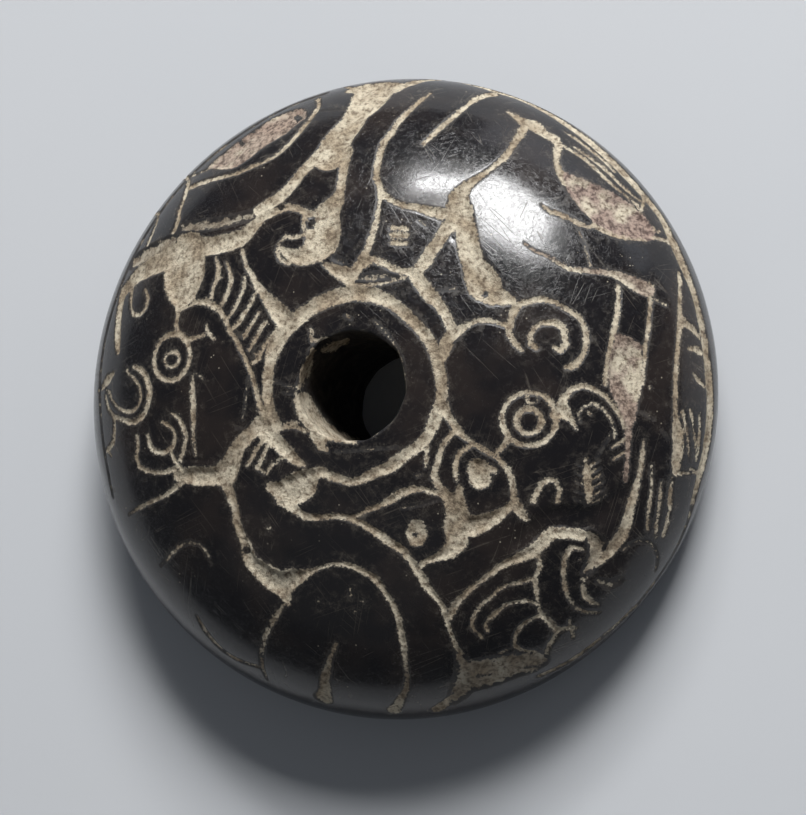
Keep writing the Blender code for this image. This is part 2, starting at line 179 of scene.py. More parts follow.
def grown(name, mesh, tree, values):
    """Runs a tree on a mesh, with its inputs set by identifier, and keeps the plain result."""
    start = bpy.data.objects.new(name + "_start", mesh)
    bpy.context.scene.collection.objects.link(start)
    modifier = start.modifiers.new("grow", "NODES")
    modifier.node_group = tree
    labels = {item.name: item.identifier for item in tree.interface.items_tree if item.in_out == "INPUT"}
    for label, value in values.items():
        modifier[labels[label]] = value
    bpy.context.view_layer.update()
    graph = bpy.context.evaluated_depsgraph_get()
    result = bpy.data.meshes.new_from_object(start.evaluated_get(graph))
    bpy.data.objects.remove(start, do_unlink=True)
    result.name = name
    return result


# %% [markdown]
# ## Turning the blank
#
# A lathe could be a Screw modifier. Here it is a Geometry Nodes tree: the section becomes a curve
# and is swept along a small circle with Curve to Mesh. The number of segments is an input of the
# tree, so the same lathe makes a rough blank or a fine one.
#
# Curve to Mesh lays the section's X outwards from the circle and its Y down along the axis, so the
# heights are handed over negative, and the radii less the small circle's own radius.

# %% The lathe
HUB = 1.0 * MM


def lathe_tree():
    tree, given, result = shape_tree("lathe", {
        "Segments": ("NodeSocketInt", 32),
        "Hub": ("NodeSocketFloat", HUB),
        "Clay": ("NodeSocketMaterial", None),
    })
    section_curve = add_node(tree, "GeometryNodeMeshToCurve", inputs={0: given.outputs["Geometry"]})
    circle = add_node(tree, "GeometryNodeCurvePrimitiveCircle", inputs={
        "Resolution": given.outputs["Segments"], "Radius": given.outputs["Hub"]})
    sweep = add_node(tree, "GeometryNodeCurveToMesh", inputs={
        "Curve": circle.outputs["Curve"], "Profile Curve": section_curve.outputs[0]})
    real = add_node(tree, "GeometryNodeRealizeInstances", inputs={0: sweep.outputs[0]})
    clay = add_node(tree, "GeometryNodeSetMaterial", inputs={
        0: real.outputs[0], "Material": given.outputs["Clay"]})
    tree.links.new(clay.outputs[0], result.inputs[0])
    return tree


def section_mesh():
    mesh = bpy.data.meshes.new("section")
    count = len(section)
    places = [(radius - HUB, -height, 0) for radius, height in section]
    mesh.from_pydata(places, [(i, (i + 1) % count) for i in range(count)], [])
    return mesh


clay = bpy.data.materials.new("burnished_ceramic")
blank = grown("whorl_carved", section_mesh(), lathe_tree(),
              {"Segments": SEGMENTS, "Hub": HUB, "Clay": clay})
print(len(blank.polygons), "faces on the turned blank")

# %% [markdown]
# ## A plan of the skin
#
# The carving is drawn flat, as on a map of the dome seen from above. A place on the map is given
# in thousandths of the skin's reach, the way along the dome from the bore's axis out to the widest
# ring. Like that, a drawing stays right if the whorl is made larger or flatter.
#
# A stroke is a list of knots (x, y, width). `flow` runs a smooth line through them, `even` does so
# with one width, and `around` takes its knots as bearings and reaches from a middle.

# %% Lines that run through knots
PLAN = 1000
UNIT = REACHED[-1] / PLAN
STROKE_STEP = 22
RING_STEPS = 12
carving = []
print(f"one unit of the plan is {UNIT / MM:.4f} mm of skin")


def flow(*knots):
    """A smooth line through the knots, whose width changes evenly from knot to knot."""
    places = np.array(knots, dtype=float)
    first = 2 * places[0] - places[1]
    last = 2 * places[-1] - places[-2]
    row = np.vstack([first, places, last])
    points = []
    for before, here, there, after in zip(row, row[1:], row[2:], row[3:]):
        count = max(1, round(math.dist(here[:2], there[:2]) / STROKE_STEP))
        for t in np.arange(count) / count:
            point = 0.5 * (2 * here + (there - before) * t
                           + (2 * before - 5 * here + 4 * there - after) * t**2
                           + (3 * here - before - 3 * there + after) * t**3)
            points.append((point[0], point[1], mix(here[2], there[2], t)))
    return np.array([*points, knots[-1]])


def even(width, *places):
    return flow(*((x, y, width) for x, y in places))


def around(x, y, *knots):
    """A smooth line round (x, y), through knots of bearing in degrees, reach and width."""
    turned = ((math.radians(bearing), reach, width) for bearing, reach, width in knots)
    return flow(*((x + reach * math.cos(turn), y + reach * math.sin(turn), width)
                  for turn, reach, width in turned))


# %% [markdown]
# ## Rings, teeth and the list of strokes
#
# What is regular on the real whorl gets its points from a rule: `ring` makes a round stroke, and
# `comb` lays teeth side by side between two lines. `carve` cuts nothing yet. It notes the strokes,
# and the knife goes through the whole list later.

# %% Rings, teeth and the list
def ring(x, y, radius, width):
    """A round ring, with at least so many steps that a small one stays round."""
    steps = max(RING_STEPS, round(radius * math.radians(360) / STROKE_STEP))
    turns = np.radians(np.linspace(0, 360, steps + 1))
    return np.column_stack([x + radius * np.cos(turns), y + radius * np.sin(turns),
                            np.full(len(turns), width)])


def comb(teeth, start, end, widths):
    """Teeth laid side by side from one line to another, each a little fuller or thinner midway."""
    made = []
    for share in np.linspace(0, 1, teeth):
        one = mix(np.array(start[0]), np.array(start[1]), share)
        other = mix(np.array(end[0]), np.array(end[1]), share)
        middle = (one + other) / 2
        made.append(flow((*one, widths[0]), (*middle, widths[1]), (*other, widths[2])))
    return made


def carve(name, *strokes, fill=1.0, rose=0.0, deep=1.0, slope=0.5):
    """Notes strokes for the knife.

    fill and rose say how full of earth they are and how rosy it is, and None leaves them bare.
    deep multiplies the usual depth, and slope is how far the rounded shoulder reaches beyond the
    stroke, on the plan."""
    for stroke in strokes:
        carving.append({"stroke": stroke, "fill": fill, "rose": rose, "deep": deep, "slope": slope})
    print(f"{name}: {len(strokes)} strokes")


# %% [markdown]
# ## The crown, and the ring round the collar
#
# The plain collar is set off by a ring that isn't quite round and isn't quite closed. Above it a
# broad fork comes down from the rim. Its right prong swells into a hook, and its left one runs to
# the pool on the left. A stroke with a low fill is only dusty: the skin shows through it.

# %% Cut the ring, the fork and the hook
carve("ring",
      around(2, -8, (-105, 222, 34), (-90, 230, 27), (-75, 216, 34), (-62, 216, 42), (-50, 213, 37),
             (-35, 224, 36), (-20, 222, 40), (0, 225, 36), (30, 223, 38), (60, 226, 38), (75, 233, 46),
             (90, 236, 47), (105, 232, 50), (120, 230, 46), (135, 232, 52), (150, 235, 56), (165, 226, 36),
             (180, 222, 36), (192, 222, 40), (204, 222, 54)))
carve("fork",
      flow((-112, 862, 44), (-70, 878, 56), (-20, 876, 60), (30, 862, 50)),
      flow((-42, 850, 120), (-38, 820, 124), (-46, 780, 106), (-62, 740, 80),
           (-68, 710, 82), (-86, 676, 88), (-100, 640, 94), (-108, 604, 100)),
      flow((20, 846, 50), (48, 872, 36), (74, 906, 34)),
      flow((-96, 850, 30), (-120, 880, 22), (-146, 905, 16)),
      flow((-130, 620, 50), (-160, 582, 40), (-184, 552, 40), (-204, 522, 42), (-226, 496, 44),
           (-258, 474, 44), (-292, 458, 36)),
      flow((-72, 610, 60), (-64, 570, 34), (-64, 530, 32), (-64, 500, 30), (-70, 470, 50)),
      flow((-300, 404, 30), (-276, 436, 32), (-240, 452, 34), (-200, 462, 30), (-172, 454, 26),
           (-144, 440, 26), (-110, 428, 40)))
carve("hook",
      flow((-76, 462, 56), (-92, 430, 84), (-98, 396, 104), (-98, 362, 100), (-120, 336, 70),
           (-152, 325, 54), (-186, 334, 36), (-210, 352, 20)),
      flow((-140, 386, 16), (-172, 377, 18), (-200, 381, 14), (-213, 366, 12), (-219, 344, 14),
           (-206, 320, 20), (-180, 310, 20)),
      even(13, (-154, 440), (-151, 408), (-146, 384)))
carve("nick in the hook", even(12, (-134, 424), (-137, 408)), fill=None)

# %% [markdown]
# ## The upper left
#
# The pool on the left tapers down to a point over a round eye. Over it lies a plain raised cushion
# inside two lines, and at the rim is a pool whose earth has a rosy tint.

# %% Cut the left pool, the cushion's lines and the rosy pool
carve("dust over the left pool",
      flow((-310, 446, 40), (-380, 436, 40), (-450, 434, 44), (-530, 438, 40)), fill=0.32, deep=0.5)
carve("dust at the end of the left pool",
      flow((-560, 404, 46), (-640, 388, 60), (-720, 374, 60)), fill=0.45, deep=0.7)
carve("left pool",
      flow((-270, 446, 36), (-296, 414, 44), (-330, 386, 58), (-400, 372, 62), (-470, 372, 62),
           (-540, 362, 90), (-610, 348, 80), (-680, 326, 62), (-736, 290, 52)))
carve("drop of the left pool",
      flow((-505, 350, 154), (-497, 300, 146), (-494, 262, 110), (-497, 232, 60), (-502, 206, 26)),
      deep=0.7)
carve("cushion",
      flow((-556, 572, 26), (-500, 576, 26), (-440, 579, 22), (-380, 582, 18), (-330, 598, 20),
           (-280, 616, 20), (-246, 648, 22), (-220, 690, 24), (-200, 740, 24), (-190, 790, 24),
           (-210, 838, 20)),
      flow((-566, 432, 26), (-558, 466, 24), (-566, 500, 24), (-563, 545, 24), (-580, 603, 26),
           (-622, 640, 18), (-672, 674, 12)),
      even(10, (-592, 626), (-539, 621), (-488, 626)),
      even(16, (-738, 545), (-680, 520), (-665, 475), (-674, 412)), fill=0.92)
carve("rosy pool",
      flow((-498, 634, 30), (-470, 640, 60), (-440, 645, 88), (-411, 654, 114), (-380, 676, 118),
           (-345, 708, 118), (-301, 736, 122), (-265, 757, 94), (-230, 754, 44)),
      fill=0.92, rose=0.6, deep=0.7)

# %% [markdown]
# ## The beast on the left
#
# It has a round eye with a hollow pupil, and jaws that hook round the eye from both sides. The
# pupil isn't quite round, so its knots come from a formula: a circle that is a little wider than it
# is high.

# %% Cut the left eye and jaws
pupil = ((bearing, 23 + 3 * math.cos(math.radians(2 * bearing)), 15) for bearing in range(0, 361, 45))
carve("left eye", ring(-513, 82, 61, 21), around(-511, 77, *pupil))
carve("left jaws",
      flow((-501, 196, 20), (-504, 168, 18), (-494, 150, 18), (-478, 136, 20), (-460, 126, 20),
           (-436, 129, 12)),
      flow((-700, 296, 22), (-696, 264, 17), (-690, 232, 16), (-672, 210, 16), (-644, 204, 16),
           (-622, 222, 18), (-618, 248, 18), (-634, 272, 15)),
      flow((-748, 292, 44), (-748, 240, 42), (-744, 200, 40), (-736, 150, 38), (-727, 112, 26)),
      flow((-836, 12, 12), (-800, 22, 26), (-770, 38, 40), (-744, 52, 18)),
      flow((-652, 64, 16), (-625, 58, 26), (-600, 34, 28), (-586, 5, 28), (-588, -28, 26), (-604, -60, 26),
           (-640, -83, 26), (-690, -76, 22), (-735, -64, 20), (-765, -40, 18), (-782, -6, 14)),
      flow((-678, 60, 12), (-674, 48, 12), (-648, 34, 13), (-624, 12, 13), (-617, -14, 14), (-626, -38, 13),
           (-655, -55, 13), (-690, -50, 12), (-722, -38, 12), (-746, -20, 12), (-757, 0, 13),
           (-778, 10, 10)),
      flow((-735, -72, 12), (-733, -105, 16), (-742, -136, 18), (-770, -152, 20), (-796, -160, 10)),
      even(9, (-778, -156), (-758, -172)),
      flow((-441, 26, 16), (-440, -12, 23), (-437, -50, 25), (-437, -82, 24), (-438, -116, 17),
           (-435, -150, 13), (-432, -172, 10)),
      flow((-506, -64, 12), (-484, -76, 20), (-469, -98, 24), (-461, -131, 20), (-470, -158, 18),
           (-480, -182, 26)),
      flow((-541, -84, 13), (-519, -93, 16), (-499, -110, 16), (-495, -128, 16), (-506, -150, 20),
           (-532, -164, 22), (-562, -161, 22), (-584, -148, 22), (-592, -118, 18)),
      flow((-632, -122, 20), (-632, -150, 20), (-640, -176, 18), (-628, -200, 18), (-592, -213, 18),
           (-545, -216, 18), (-500, -206, 24)),
      flow((-512, -164, 20), (-498, -188, 20), (-478, -206, 22)))
carve("small marks by the eye",
      even(11, (-440, 129), (-411, 134)),
      flow((-407, 160, 12), (-399, 140, 18), (-379, 124, 12)),
      even(8, (-452, 38), (-441, 31)),
      even(8, (-433, 36), (-409, 25)))

# %% [markdown]
# ## The comb
#
# The beast has a comb for a crest. Its teeth hang between two lines that draw together, so each tooth
# is a little shorter than the one before. No two teeth bend alike, so each has knots of its own.

# %% Cut the comb
carve("comb",
      flow((-500, 202, 12), (-470, 214, 16), (-442, 223, 16), (-414, 221, 30), (-380, 205, 28),
           (-352, 178, 24), (-334, 142, 20), (-313, 118, 20), (-300, 94, 22), (-284, 68, 22),
           (-272, 44, 20), (-259, 13, 22), (-250, -20, 22), (-240, -46, 26), (-226, -72, 36)),
      flow((-318, 350, 16), (-309, 326, 16), (-299, 304, 18), (-281, 283, 22), (-268, 260, 26),
           (-250, 240, 32), (-228, 216, 42), (-204, 190, 54), (-180, 165, 60)),
      flow((-398, 338, 12), (-384, 309, 22), (-385, 283, 26), (-396, 257, 18), (-398, 232, 22)),
      flow((-364, 324, 10), (-348, 297, 18), (-341, 270, 20), (-349, 240, 18), (-366, 206, 18)),
      flow((-303, 280, 14), (-303, 252, 16), (-315, 219, 18), (-332, 189, 20), (-345, 172, 20)),
      flow((-268, 238, 14), (-277, 212, 18), (-292, 190, 20), (-306, 168, 20), (-324, 150, 18)),
      flow((-250, 192, 14), (-261, 174, 16), (-270, 159, 16), (-280, 145, 18), (-292, 128, 20)),
      flow((-232, 160, 18), (-244, 147, 18), (-254, 128, 18), (-262, 113, 16), (-276, 94, 18)),
      flow((-221, 120, 18), (-232, 102, 18), (-241, 86, 18), (-246, 72, 24), (-262, 62, 20)),
      even(7, (-380, 282), (-370, 282)),
      even(11, (-257, 83), (-254, 80)))

# %% [markdown]
# ## Where the lines meet
#
# On the left several lines run together in one broad patch of earth. The skin slopes down to it, so
# a bare stroke lowers the skin first, and the patch is then cut into that slope.

# %% Cut the left junction
carve("slope of the left junction",
      flow((-470, -182, 14), (-400, -184, 18), (-335, -176, 14)), fill=None)
carve("left junction",
      flow((-492, -226, 40), (-440, -224, 56), (-380, -224, 56), (-340, -214, 76), (-318, -176, 56),
           (-296, -142, 46), (-262, -112, 46), (-236, -92, 56), (-222, -120, 50)),
      flow((-226, -100, 60), (-206, -128, 50), (-182, -150, 48), (-158, -172, 44), (-138, -186, 34),
           (-120, -196, 16)),
      flow((-478, -240, 24), (-531, -272, 18), (-574, -287, 16), (-620, -302, 14), (-704, -334, 7)))
carve("fine lines on the left",
      even(8, (-274, 27), (-279, -20), (-283, -54), (-289, -80)),
      even(7, (-200, 14), (-149, -3), (-140, -12)),
      even(7, (-174, -16), (-140, -18)),
      even(8, (-307, -101), (-300, -104)), fill=0.85, deep=0.7)

# %% [markdown]
# ## Below the collar
#
# A pool under the collar sends out two lines, which run round two small lobes with a dot in each.
# Some short lines lie so close that their earth would run together. A thin bare stroke between them
# keeps it apart.

# %% Cut the pool under the collar and the lobes
carve("under the collar",
      flow((-200, -110, 17), (-157, -100, 16), (-138, -102, 14), (-110, -113, 12)),
      flow((-190, -96, 12), (-157, -91, 11), (-133, -89, 10)),
      flow((-212, -252, 40), (-186, -262, 64), (-158, -260, 88), (-128, -246, 86), (-104, -222, 50),
           (-80, -212, 34), (-50, -222, 30), (-10, -235, 26)),
      flow((-196, -290, 20), (-158, -300, 34), (-124, -326, 26), (-80, -326, 22), (-41, -324, 20),
           (-7, -329, 30)),
      flow((-232, -134, 16), (-255, -163, 16), (-277, -197, 15)),
      flow((-217, -138, 15), (-229, -166, 16), (-247, -200, 19)),
      even(15, (-254, -201), (-233, -214)),
      flow((-182, -180, 20), (-206, -192, 15), (-224, -216, 13)))
carve("gaps between the short lines",
      even(12, (-207, -161), (-202, -181)), even(9, (-186, -189), (-179, -194)), fill=None)
carve("lobes",
      flow((0, -326, 22), (31, -313, 20), (74, -296, 22), (100, -283, 30), (126, -266, 28),
           (156, -257, 26), (181, -257, 18), (207, -268, 20), (226, -268, 32), (250, -294, 52),
           (262, -330, 70), (258, -362, 74), (256, -392, 60), (236, -416, 44), (200, -432, 28),
           (173, -441, 22), (158, -458, 20)),
      flow((266, -256, 26), (264, -296, 44)),
      flow((290, -352, 64), (330, -342, 50), (366, -322, 36), (394, -298, 26)),
      flow((359, -184, 18), (384, -212, 20), (395, -249, 22), (398, -283, 26), (406, -309, 34),
           (423, -334, 28), (433, -348, 12)),
      flow((-7, -331, 28), (23, -343, 24), (57, -364, 30), (91, -390, 32), (121, -411, 30),
           (143, -446, 28), (164, -476, 30), (173, -501, 34), (194, -531, 22), (211, -557, 20),
           (216, -583, 18), (220, -606, 18), (228, -644, 18), (236, -674, 20), (245, -700, 30)),
      flow((160, -352, 50), (158, -368, 60), (158, -382, 50)),
      flow((314, -212, 64), (318, -234, 62)),
      flow((330, -208, 40), (354, -216, 22)),
      flow((230, -58, 44), (243, -80, 28), (264, -114, 30), (286, -136, 24), (316, -157, 20),
           (337, -170, 22), (362, -184, 18)),
      flow((196, -120, 16), (190, -160, 14), (185, -205, 10)),
      flow((222, -70, 24), (209, -119, 12)),
      flow((256, -117, 22), (239, -136, 20), (226, -153, 20), (219, -183, 22), (209, -206, 22),
           (203, -232, 20)),
      flow((294, -153, 18), (273, -166, 18), (262, -183, 18), (258, -206, 16), (260, -236, 12)),
      even(28, (206, -222), (216, -250), (232, -266)))
carve("pit in the left lobe's dot", even(8, (150, -371), (154, -372)), fill=None)
carve("smear between the lobes", even(14, (126, -304), (177, -294), (211, -283)), fill=0.35, deep=0.5)

# %% [markdown]
# ## The lower left
#
# A third line comes down to a pool at the lower left, where a fan of long lines starts. The pool's
# edge was rubbed round after it was cut. Such a slope is a broad stroke with no fill and a wide
# shoulder: it lowers the skin, and no earth lies on it.

# %% Cut the lower left pool, the fan and the faint lines
carve("slope of the lower left pool",
      flow((-296, -372, 24), (-262, -404, 44), (-220, -430, 50), (-180, -438, 40), (-140, -446, 20)),
      fill=None, deep=0.6, slope=40)
carve("lower left pool",
      flow((-345, -236, 48), (-333, -262, 40), (-327, -284, 34), (-319, -309, 34), (-317, -345, 32),
           (-307, -375, 32), (-297, -398, 38), (-294, -424, 46), (-284, -446, 52), (-262, -466, 62),
           (-235, -488, 70), (-205, -500, 76), (-170, -482, 56), (-140, -474, 34), (-114, -463, 18),
           (-89, -454, 17), (-59, -446, 18), (-29, -446, 20), (-3, -454, 20), (23, -467, 24),
           (44, -480, 28), (61, -506, 26), (74, -531, 26), (87, -557, 26), (96, -587, 24), (97, -620, 26),
           (100, -649, 30), (100, -674, 26), (98, -721, 17), (96, -760, 16), (87, -799, 22),
           (70, -833, 30), (53, -863, 34), (31, -897, 44)),
      flow((-205, -510, 60), (-200, -532, 44), (-197, -552, 20)))
carve("pit in the lower left pool", even(16, (-300, -415), (-296, -416)), fill=None, deep=2.5)
carve("fan",
      flow((-200, -550, 16), (-214, -560, 18), (-231, -583, 28), (-256, -612, 24), (-294, -670, 22),
           (-322, -740, 22), (-332, -806, 8)),
      flow((-78, -661, 14), (-101, -700, 22), (-119, -739, 30), (-136, -777, 40), (-149, -820, 44),
           (-166, -854, 64)),
      flow((233, -800, 30), (202, -850, 36), (150, -905, 40)), fill=0.85, deep=0.8)
carve("faint lines below",
      flow((-600, -471, 8), (-566, -450, 12), (-531, -424, 14), (-497, -405, 15), (-467, -397, 14),
           (-441, -403, 14), (-427, -414, 14), (-415, -433, 12)), fill=0.85, deep=0.5)
carve("faint line at the rim",
      flow((-330, -756, 16), (-410, -742, 20), (-455, -715, 24), (-478, -685, 26), (-495, -650, 28),
           (-505, -612, 14)), fill=0.8, deep=0.5)

# %% [markdown]
# ## The right side
#
# The beast on the right looks towards the crown. It has a round eye, a scroll for a snout and a
# small hook under the eye. The bar behind its jaw is cut like a saw on both sides, so its teeth come
# from `comb`.

# %% Cut the right beast
carve("right eye",
      ring(437, -89, 66, 19), ring(436, -94, 31, 22), ring(444, -39, 14, 8),
      flow((384, -123, 22), (380, -149, 20), (359, -170, 18)))
carve("right head",
      flow((496, -80, 30), (517, -71, 44), (539, -93, 22), (550, -113, 12)),
      flow((513, -63, 34), (521, -37, 28), (539, -16, 26), (564, -7, 22), (590, -14, 20), (621, -33, 17),
           (643, -59, 18), (660, -84, 18), (672, -112, 18)),
      flow((560, -97, 7), (556, -76, 7), (569, -59, 8), (590, -50, 10), (618, -66, 11), (639, -97, 11),
           (647, -123, 11), (646, -138, 8)),
      even(9, (581, -74), (584, -78)),
      flow((444, -293, 17), (453, -270, 20), (466, -251, 20), (483, -237, 18), (500, -244, 18),
           (509, -266, 18), (504, -296, 19)),
      even(12, (669, -144), (639, -161)),
      even(12, (671, -174), (643, -191)))
carve("serrated bar",
      flow((574, -192, 24), (577, -226, 32), (581, -266, 36), (583, -306, 28)),
      *comb(6, ((582, -208), (594, -302)), ((606, -194), (624, -282)), (13, 11, 9)),
      *comb(5, ((568, -208), (570, -298)), ((552, -200), (546, -290)), (11, 9, 8)), fill=0.76)
carve("snout",
      flow((222, 62, 34), (234, 94, 46)),
      flow((228, 96, 36), (251, 121, 40), (280, 140, 26), (311, 155, 18), (350, 151, 18), (380, 143, 22),
           (391, 140, 22)),
      flow((401, 190, 26), (391, 164, 26), (386, 121, 22), (401, 96, 20), (417, 80, 13)),
      flow((406, 194, 24), (440, 205, 20), (466, 209, 18), (500, 199, 18), (530, 181, 22), (556, 164, 18),
           (569, 139, 22), (573, 113, 24), (569, 79, 20), (556, 53, 24), (539, 40, 26), (524, 38, 14)),
      flow((453, 86, 22), (438, 96, 22), (436, 117, 20), (449, 139, 20), (466, 149, 20), (496, 149, 22),
           (515, 139, 24), (521, 117, 24), (524, 96, 22), (511, 79, 20), (496, 88, 15)),
      flow((140, 277, 30), (164, 251, 44), (186, 224, 44), (212, 196, 36), (234, 164, 34), (250, 130, 36)))

# %% [markdown]
# ## Over the right beast
#
# A long pool and a box with a square dot fill the space over the beast. The dot is filled with three
# short strokes side by side, because one broad stroke would have round ends.

# %% Cut the long pool and the box
carve("long pool",
      flow((363, 620, 26), (350, 594, 28), (329, 569, 21), (300, 540, 22), (262, 505, 36), (244, 470, 58),
           (250, 432, 76), (268, 395, 58), (274, 360, 60), (282, 328, 66), (294, 298, 66), (308, 268, 84),
           (322, 244, 92), (342, 220, 66), (392, 204, 30)),
      flow((363, 620, 26), (384, 673, 34), (393, 703, 30), (404, 722, 34)),
      flow((38, 509, 24), (53, 483, 26), (79, 464, 22), (109, 451, 20), (143, 446, 24), (177, 436, 34),
           (206, 428, 40)),
      flow((230, 400, 50), (216, 380, 40), (203, 354, 40), (186, 329, 40), (173, 303, 44),
           (156, 280, 34)))
carve("pits in the long pool", even(11, (324, 221), (326, 222)), even(12, (239, 366), (240, 360)),
      fill=None, deep=1.3)
carve("box and dot",
      flow((28, 600, 28), (27, 534, 26), (38, 509, 24), (46, 479, 26), (44, 449, 16), (42, 414, 20),
           (34, 371, 28), (27, 341, 26), (14, 316, 30), (4, 290, 36), (-8, 268, 36)),
      flow((14, 303, 40), (40, 314, 28), (66, 303, 26), (100, 286, 24), (134, 277, 28), (160, 272, 34)),
      even(20, (83, 394), (121, 390)),
      even(20, (85, 374), (123, 371)),
      even(20, (87, 354), (124, 351)),
      flow((-84, 303, 18), (-59, 290, 34), (-29, 277, 48), (-14, 258, 36)),
      even(12, (-7, 251), (40, 247), (91, 256), (126, 264)),
      even(8, (151, 410), (169, 397)))
carve("dust by the box",
      flow((-60, 318, 22), (-36, 306, 26)),
      flow((0, 262, 20), (50, 268, 34), (104, 262, 22)), fill=0.38, deep=0.5)

# %% [markdown]
# ## The upper right
#
# Long strokes run up over the crown. Beyond them lies a mottled pool, where rosy earth and buff earth
# are mixed. The `rose` of a stroke says how much of its earth is rosy.

# %% Cut the crown's strokes and the mottled pool
carve("crown strokes",
      flow((126, 822, 12), (109, 793, 22), (87, 750, 24), (61, 707, 26), (49, 669, 26), (31, 634, 26),
           (28, 600, 28)),
      flow((139, 630, 17), (169, 673, 22), (195, 712, 25), (226, 759, 24), (247, 797, 26), (273, 831, 30),
           (300, 856, 36)),
      flow((346, 767, 16), (371, 746, 30), (393, 729, 44), (423, 720, 54), (453, 694, 40), (479, 681, 40),
           (491, 660, 32), (487, 634, 30), (487, 590, 26), (500, 556, 28), (513, 534, 34)),
      flow((496, 664, 16), (534, 643, 18), (569, 621, 18), (600, 590, 18), (639, 556, 16), (677, 530, 16),
           (711, 509, 16), (718, 494, 14)),
      flow((526, 669, 12), (564, 647, 14), (620, 606, 16), (664, 566, 16), (694, 543, 18), (726, 527, 16)),
      flow((509, 724, 9), (543, 703, 17), (577, 677, 16), (620, 643, 16), (650, 612, 18)),
      flow((724, 483, 14), (732, 515, 16), (742, 548, 16)))
carve("mottled pool",
      flow((512, 550, 36), (545, 524, 76), (586, 494, 110), (625, 470, 130), (665, 450, 126),
           (700, 438, 112), (726, 428, 84)), fill=0.9, rose=0.8, deep=0.8)
carve("lines of the mottled pool",
      flow((588, 414, 24), (640, 396, 30), (690, 396, 30), (728, 400, 30)),
      flow((741, 412, 20), (784, 412, 20), (812, 414, 28)),
      even(14, (759, 432), (757, 444)),
      even(10, (771, 431), (780, 440)),
      flow((452, 460, 8), (474, 444, 15), (500, 436, 18), (526, 427, 20), (551, 414, 22), (576, 408, 18)),
      even(6, (543, 410), (564, 354), (581, 299)), rose=0.1, deep=0.6)

# %% [markdown]
# ## The ladder and the panel
#
# A ladder with a pool between its rails comes down the right side, beside a panel of short hatching.
# The dome turns them away from the eye, so they look narrow in the photo. On the plan they have
# their true width.

# %% Cut the ladder and the panel
carve("head of the ladder",
      flow((414, 354, 6), (440, 333, 9), (474, 320, 10), (500, 303, 12), (526, 290, 16), (564, 286, 18),
           (600, 286, 18), (640, 284, 28), (672, 272, 40), (704, 258, 48), (732, 250, 48)),
      rose=0.5, deep=0.55)
carve("ladder",
      even(14, (738, 268), (746, 262)),
      even(12, (750, 226), (784, 215)),
      flow((651, 251, 20), (654, 220, 18), (649, 177, 19), (643, 139, 21), (632, 91, 20), (626, 49, 18),
           (621, -3, 16)),
      flow((738, 232, 24), (739, 217, 20), (737, 194, 19), (731, 134, 19), (725, 100, 18), (722, 60, 18),
           (716, 0, 16)))
carve("pool in the ladder",
      flow((646, 120, 24), (672, 110, 32), (704, 94, 34)),
      flow((672, 90, 72), (674, 60, 94), (672, 20, 96), (672, -8, 86), (680, -50, 62), (682, -85, 44),
           (680, -115, 26), (681, -157, 24), (679, -191, 18), (678, -214, 16), (675, -246, 14)), rose=0.6)
carve("buff side of the pool",
      flow((706, 86, 24), (704, 44, 38), (700, 0, 44), (694, -40, 38), (688, -80, 26)))
carve("panel",
      flow((834, 322, 18), (834, 286, 22), (831, 251, 22), (828, 213, 24), (829, 186, 30), (823, 147, 24),
           (816, 91, 20), (812, 49, 22), (810, -16, 20), (810, -46, 22), (814, -89, 30), (819, -123, 44),
           (821, -166, 40), (818, -200, 42), (818, -228, 32)),
      flow((819, -234, 24), (849, -234, 14), (872, -236, 11)),
      flow((870, -223, 13), (896, -236, 15), (926, -240, 12)),
      flow((831, 181, 26), (866, 164, 30), (898, 143, 24)),
      flow((853, 104, 10), (874, 106, 26), (902, 100, 26)),
      flow((870, 36, 12), (887, 19, 24), (918, 6, 18)),
      even(10, (737, -9), (739, -8)))
carve("hatching of the panel",
      flow((831, -67, 18), (844, -106, 14), (853, -144, 12), (861, -200, 10)),
      flow((859, -63, 14), (870, -106, 14), (883, -153, 14), (891, -200, 13)),
      flow((894, -76, 16), (896, -123, 16), (896, -187, 16)),
      flow((744, -210, 17), (746, -266, 15), (741, -317, 15), (739, -351, 15), (739, -383, 13)),
      flow((774, -253, 12), (774, -274, 20), (769, -339, 18), (765, -364, 22), (767, -404, 14)),
      flow((806, -244, 14), (804, -296, 22), (806, -330, 18), (801, -364, 24), (793, -404, 22)),
      fill=0.92, deep=0.6)

# %% [markdown]
# ## The crests on the lower right
#
# Two deep crests are scooped under glossy rounded shoulders, and between them a curl winds in. Only
# the bottom of each scoop holds earth, so the shoulders are a slope, and the crests are cut into it.

# %% Cut the crests and the curl
carve("slope of the crests",
      flow((400, -395, 40), (450, -365, 56), (500, -340, 60), (560, -340, 60), (610, -330, 60),
           (650, -300, 50), (680, -265, 30)), fill=None, slope=20)
carve("crests",
      flow((226, -587, 30), (243, -553, 28), (264, -531, 24), (286, -510, 22), (311, -493, 18),
           (333, -476, 20), (359, -456, 24), (384, -444, 28), (414, -432, 38), (442, -420, 40),
           (464, -398, 43), (487, -377, 39), (511, -375, 38), (537, -380, 38), (561, -385, 38),
           (580, -384, 26)),
      flow((722, -144, 10), (719, -170, 19), (716, -214, 20), (706, -250, 24), (700, -283, 30),
           (690, -312, 31), (683, -340, 35), (678, -364, 40), (667, -390, 43), (650, -413, 41),
           (628, -440, 35), (606, -460, 27), (592, -472, 20)))
carve("dust between the crests",
      flow((584, -385, 44), (602, -412, 56), (598, -450, 54), (576, -482, 40)), fill=0.45, deep=1.1)
carve("curl between the crests",
      even(20, (569, -501), (567, -503)),
      flow((564, -520, 16), (573, -553, 22), (594, -574, 22), (608, -584, 15)),
      even(9, (558, -448), (559, -449)))
carve("dust beside the curl", flow((608, -512, 26), (635, -526, 36), (666, -518, 32)), fill=0.35, deep=0.4)
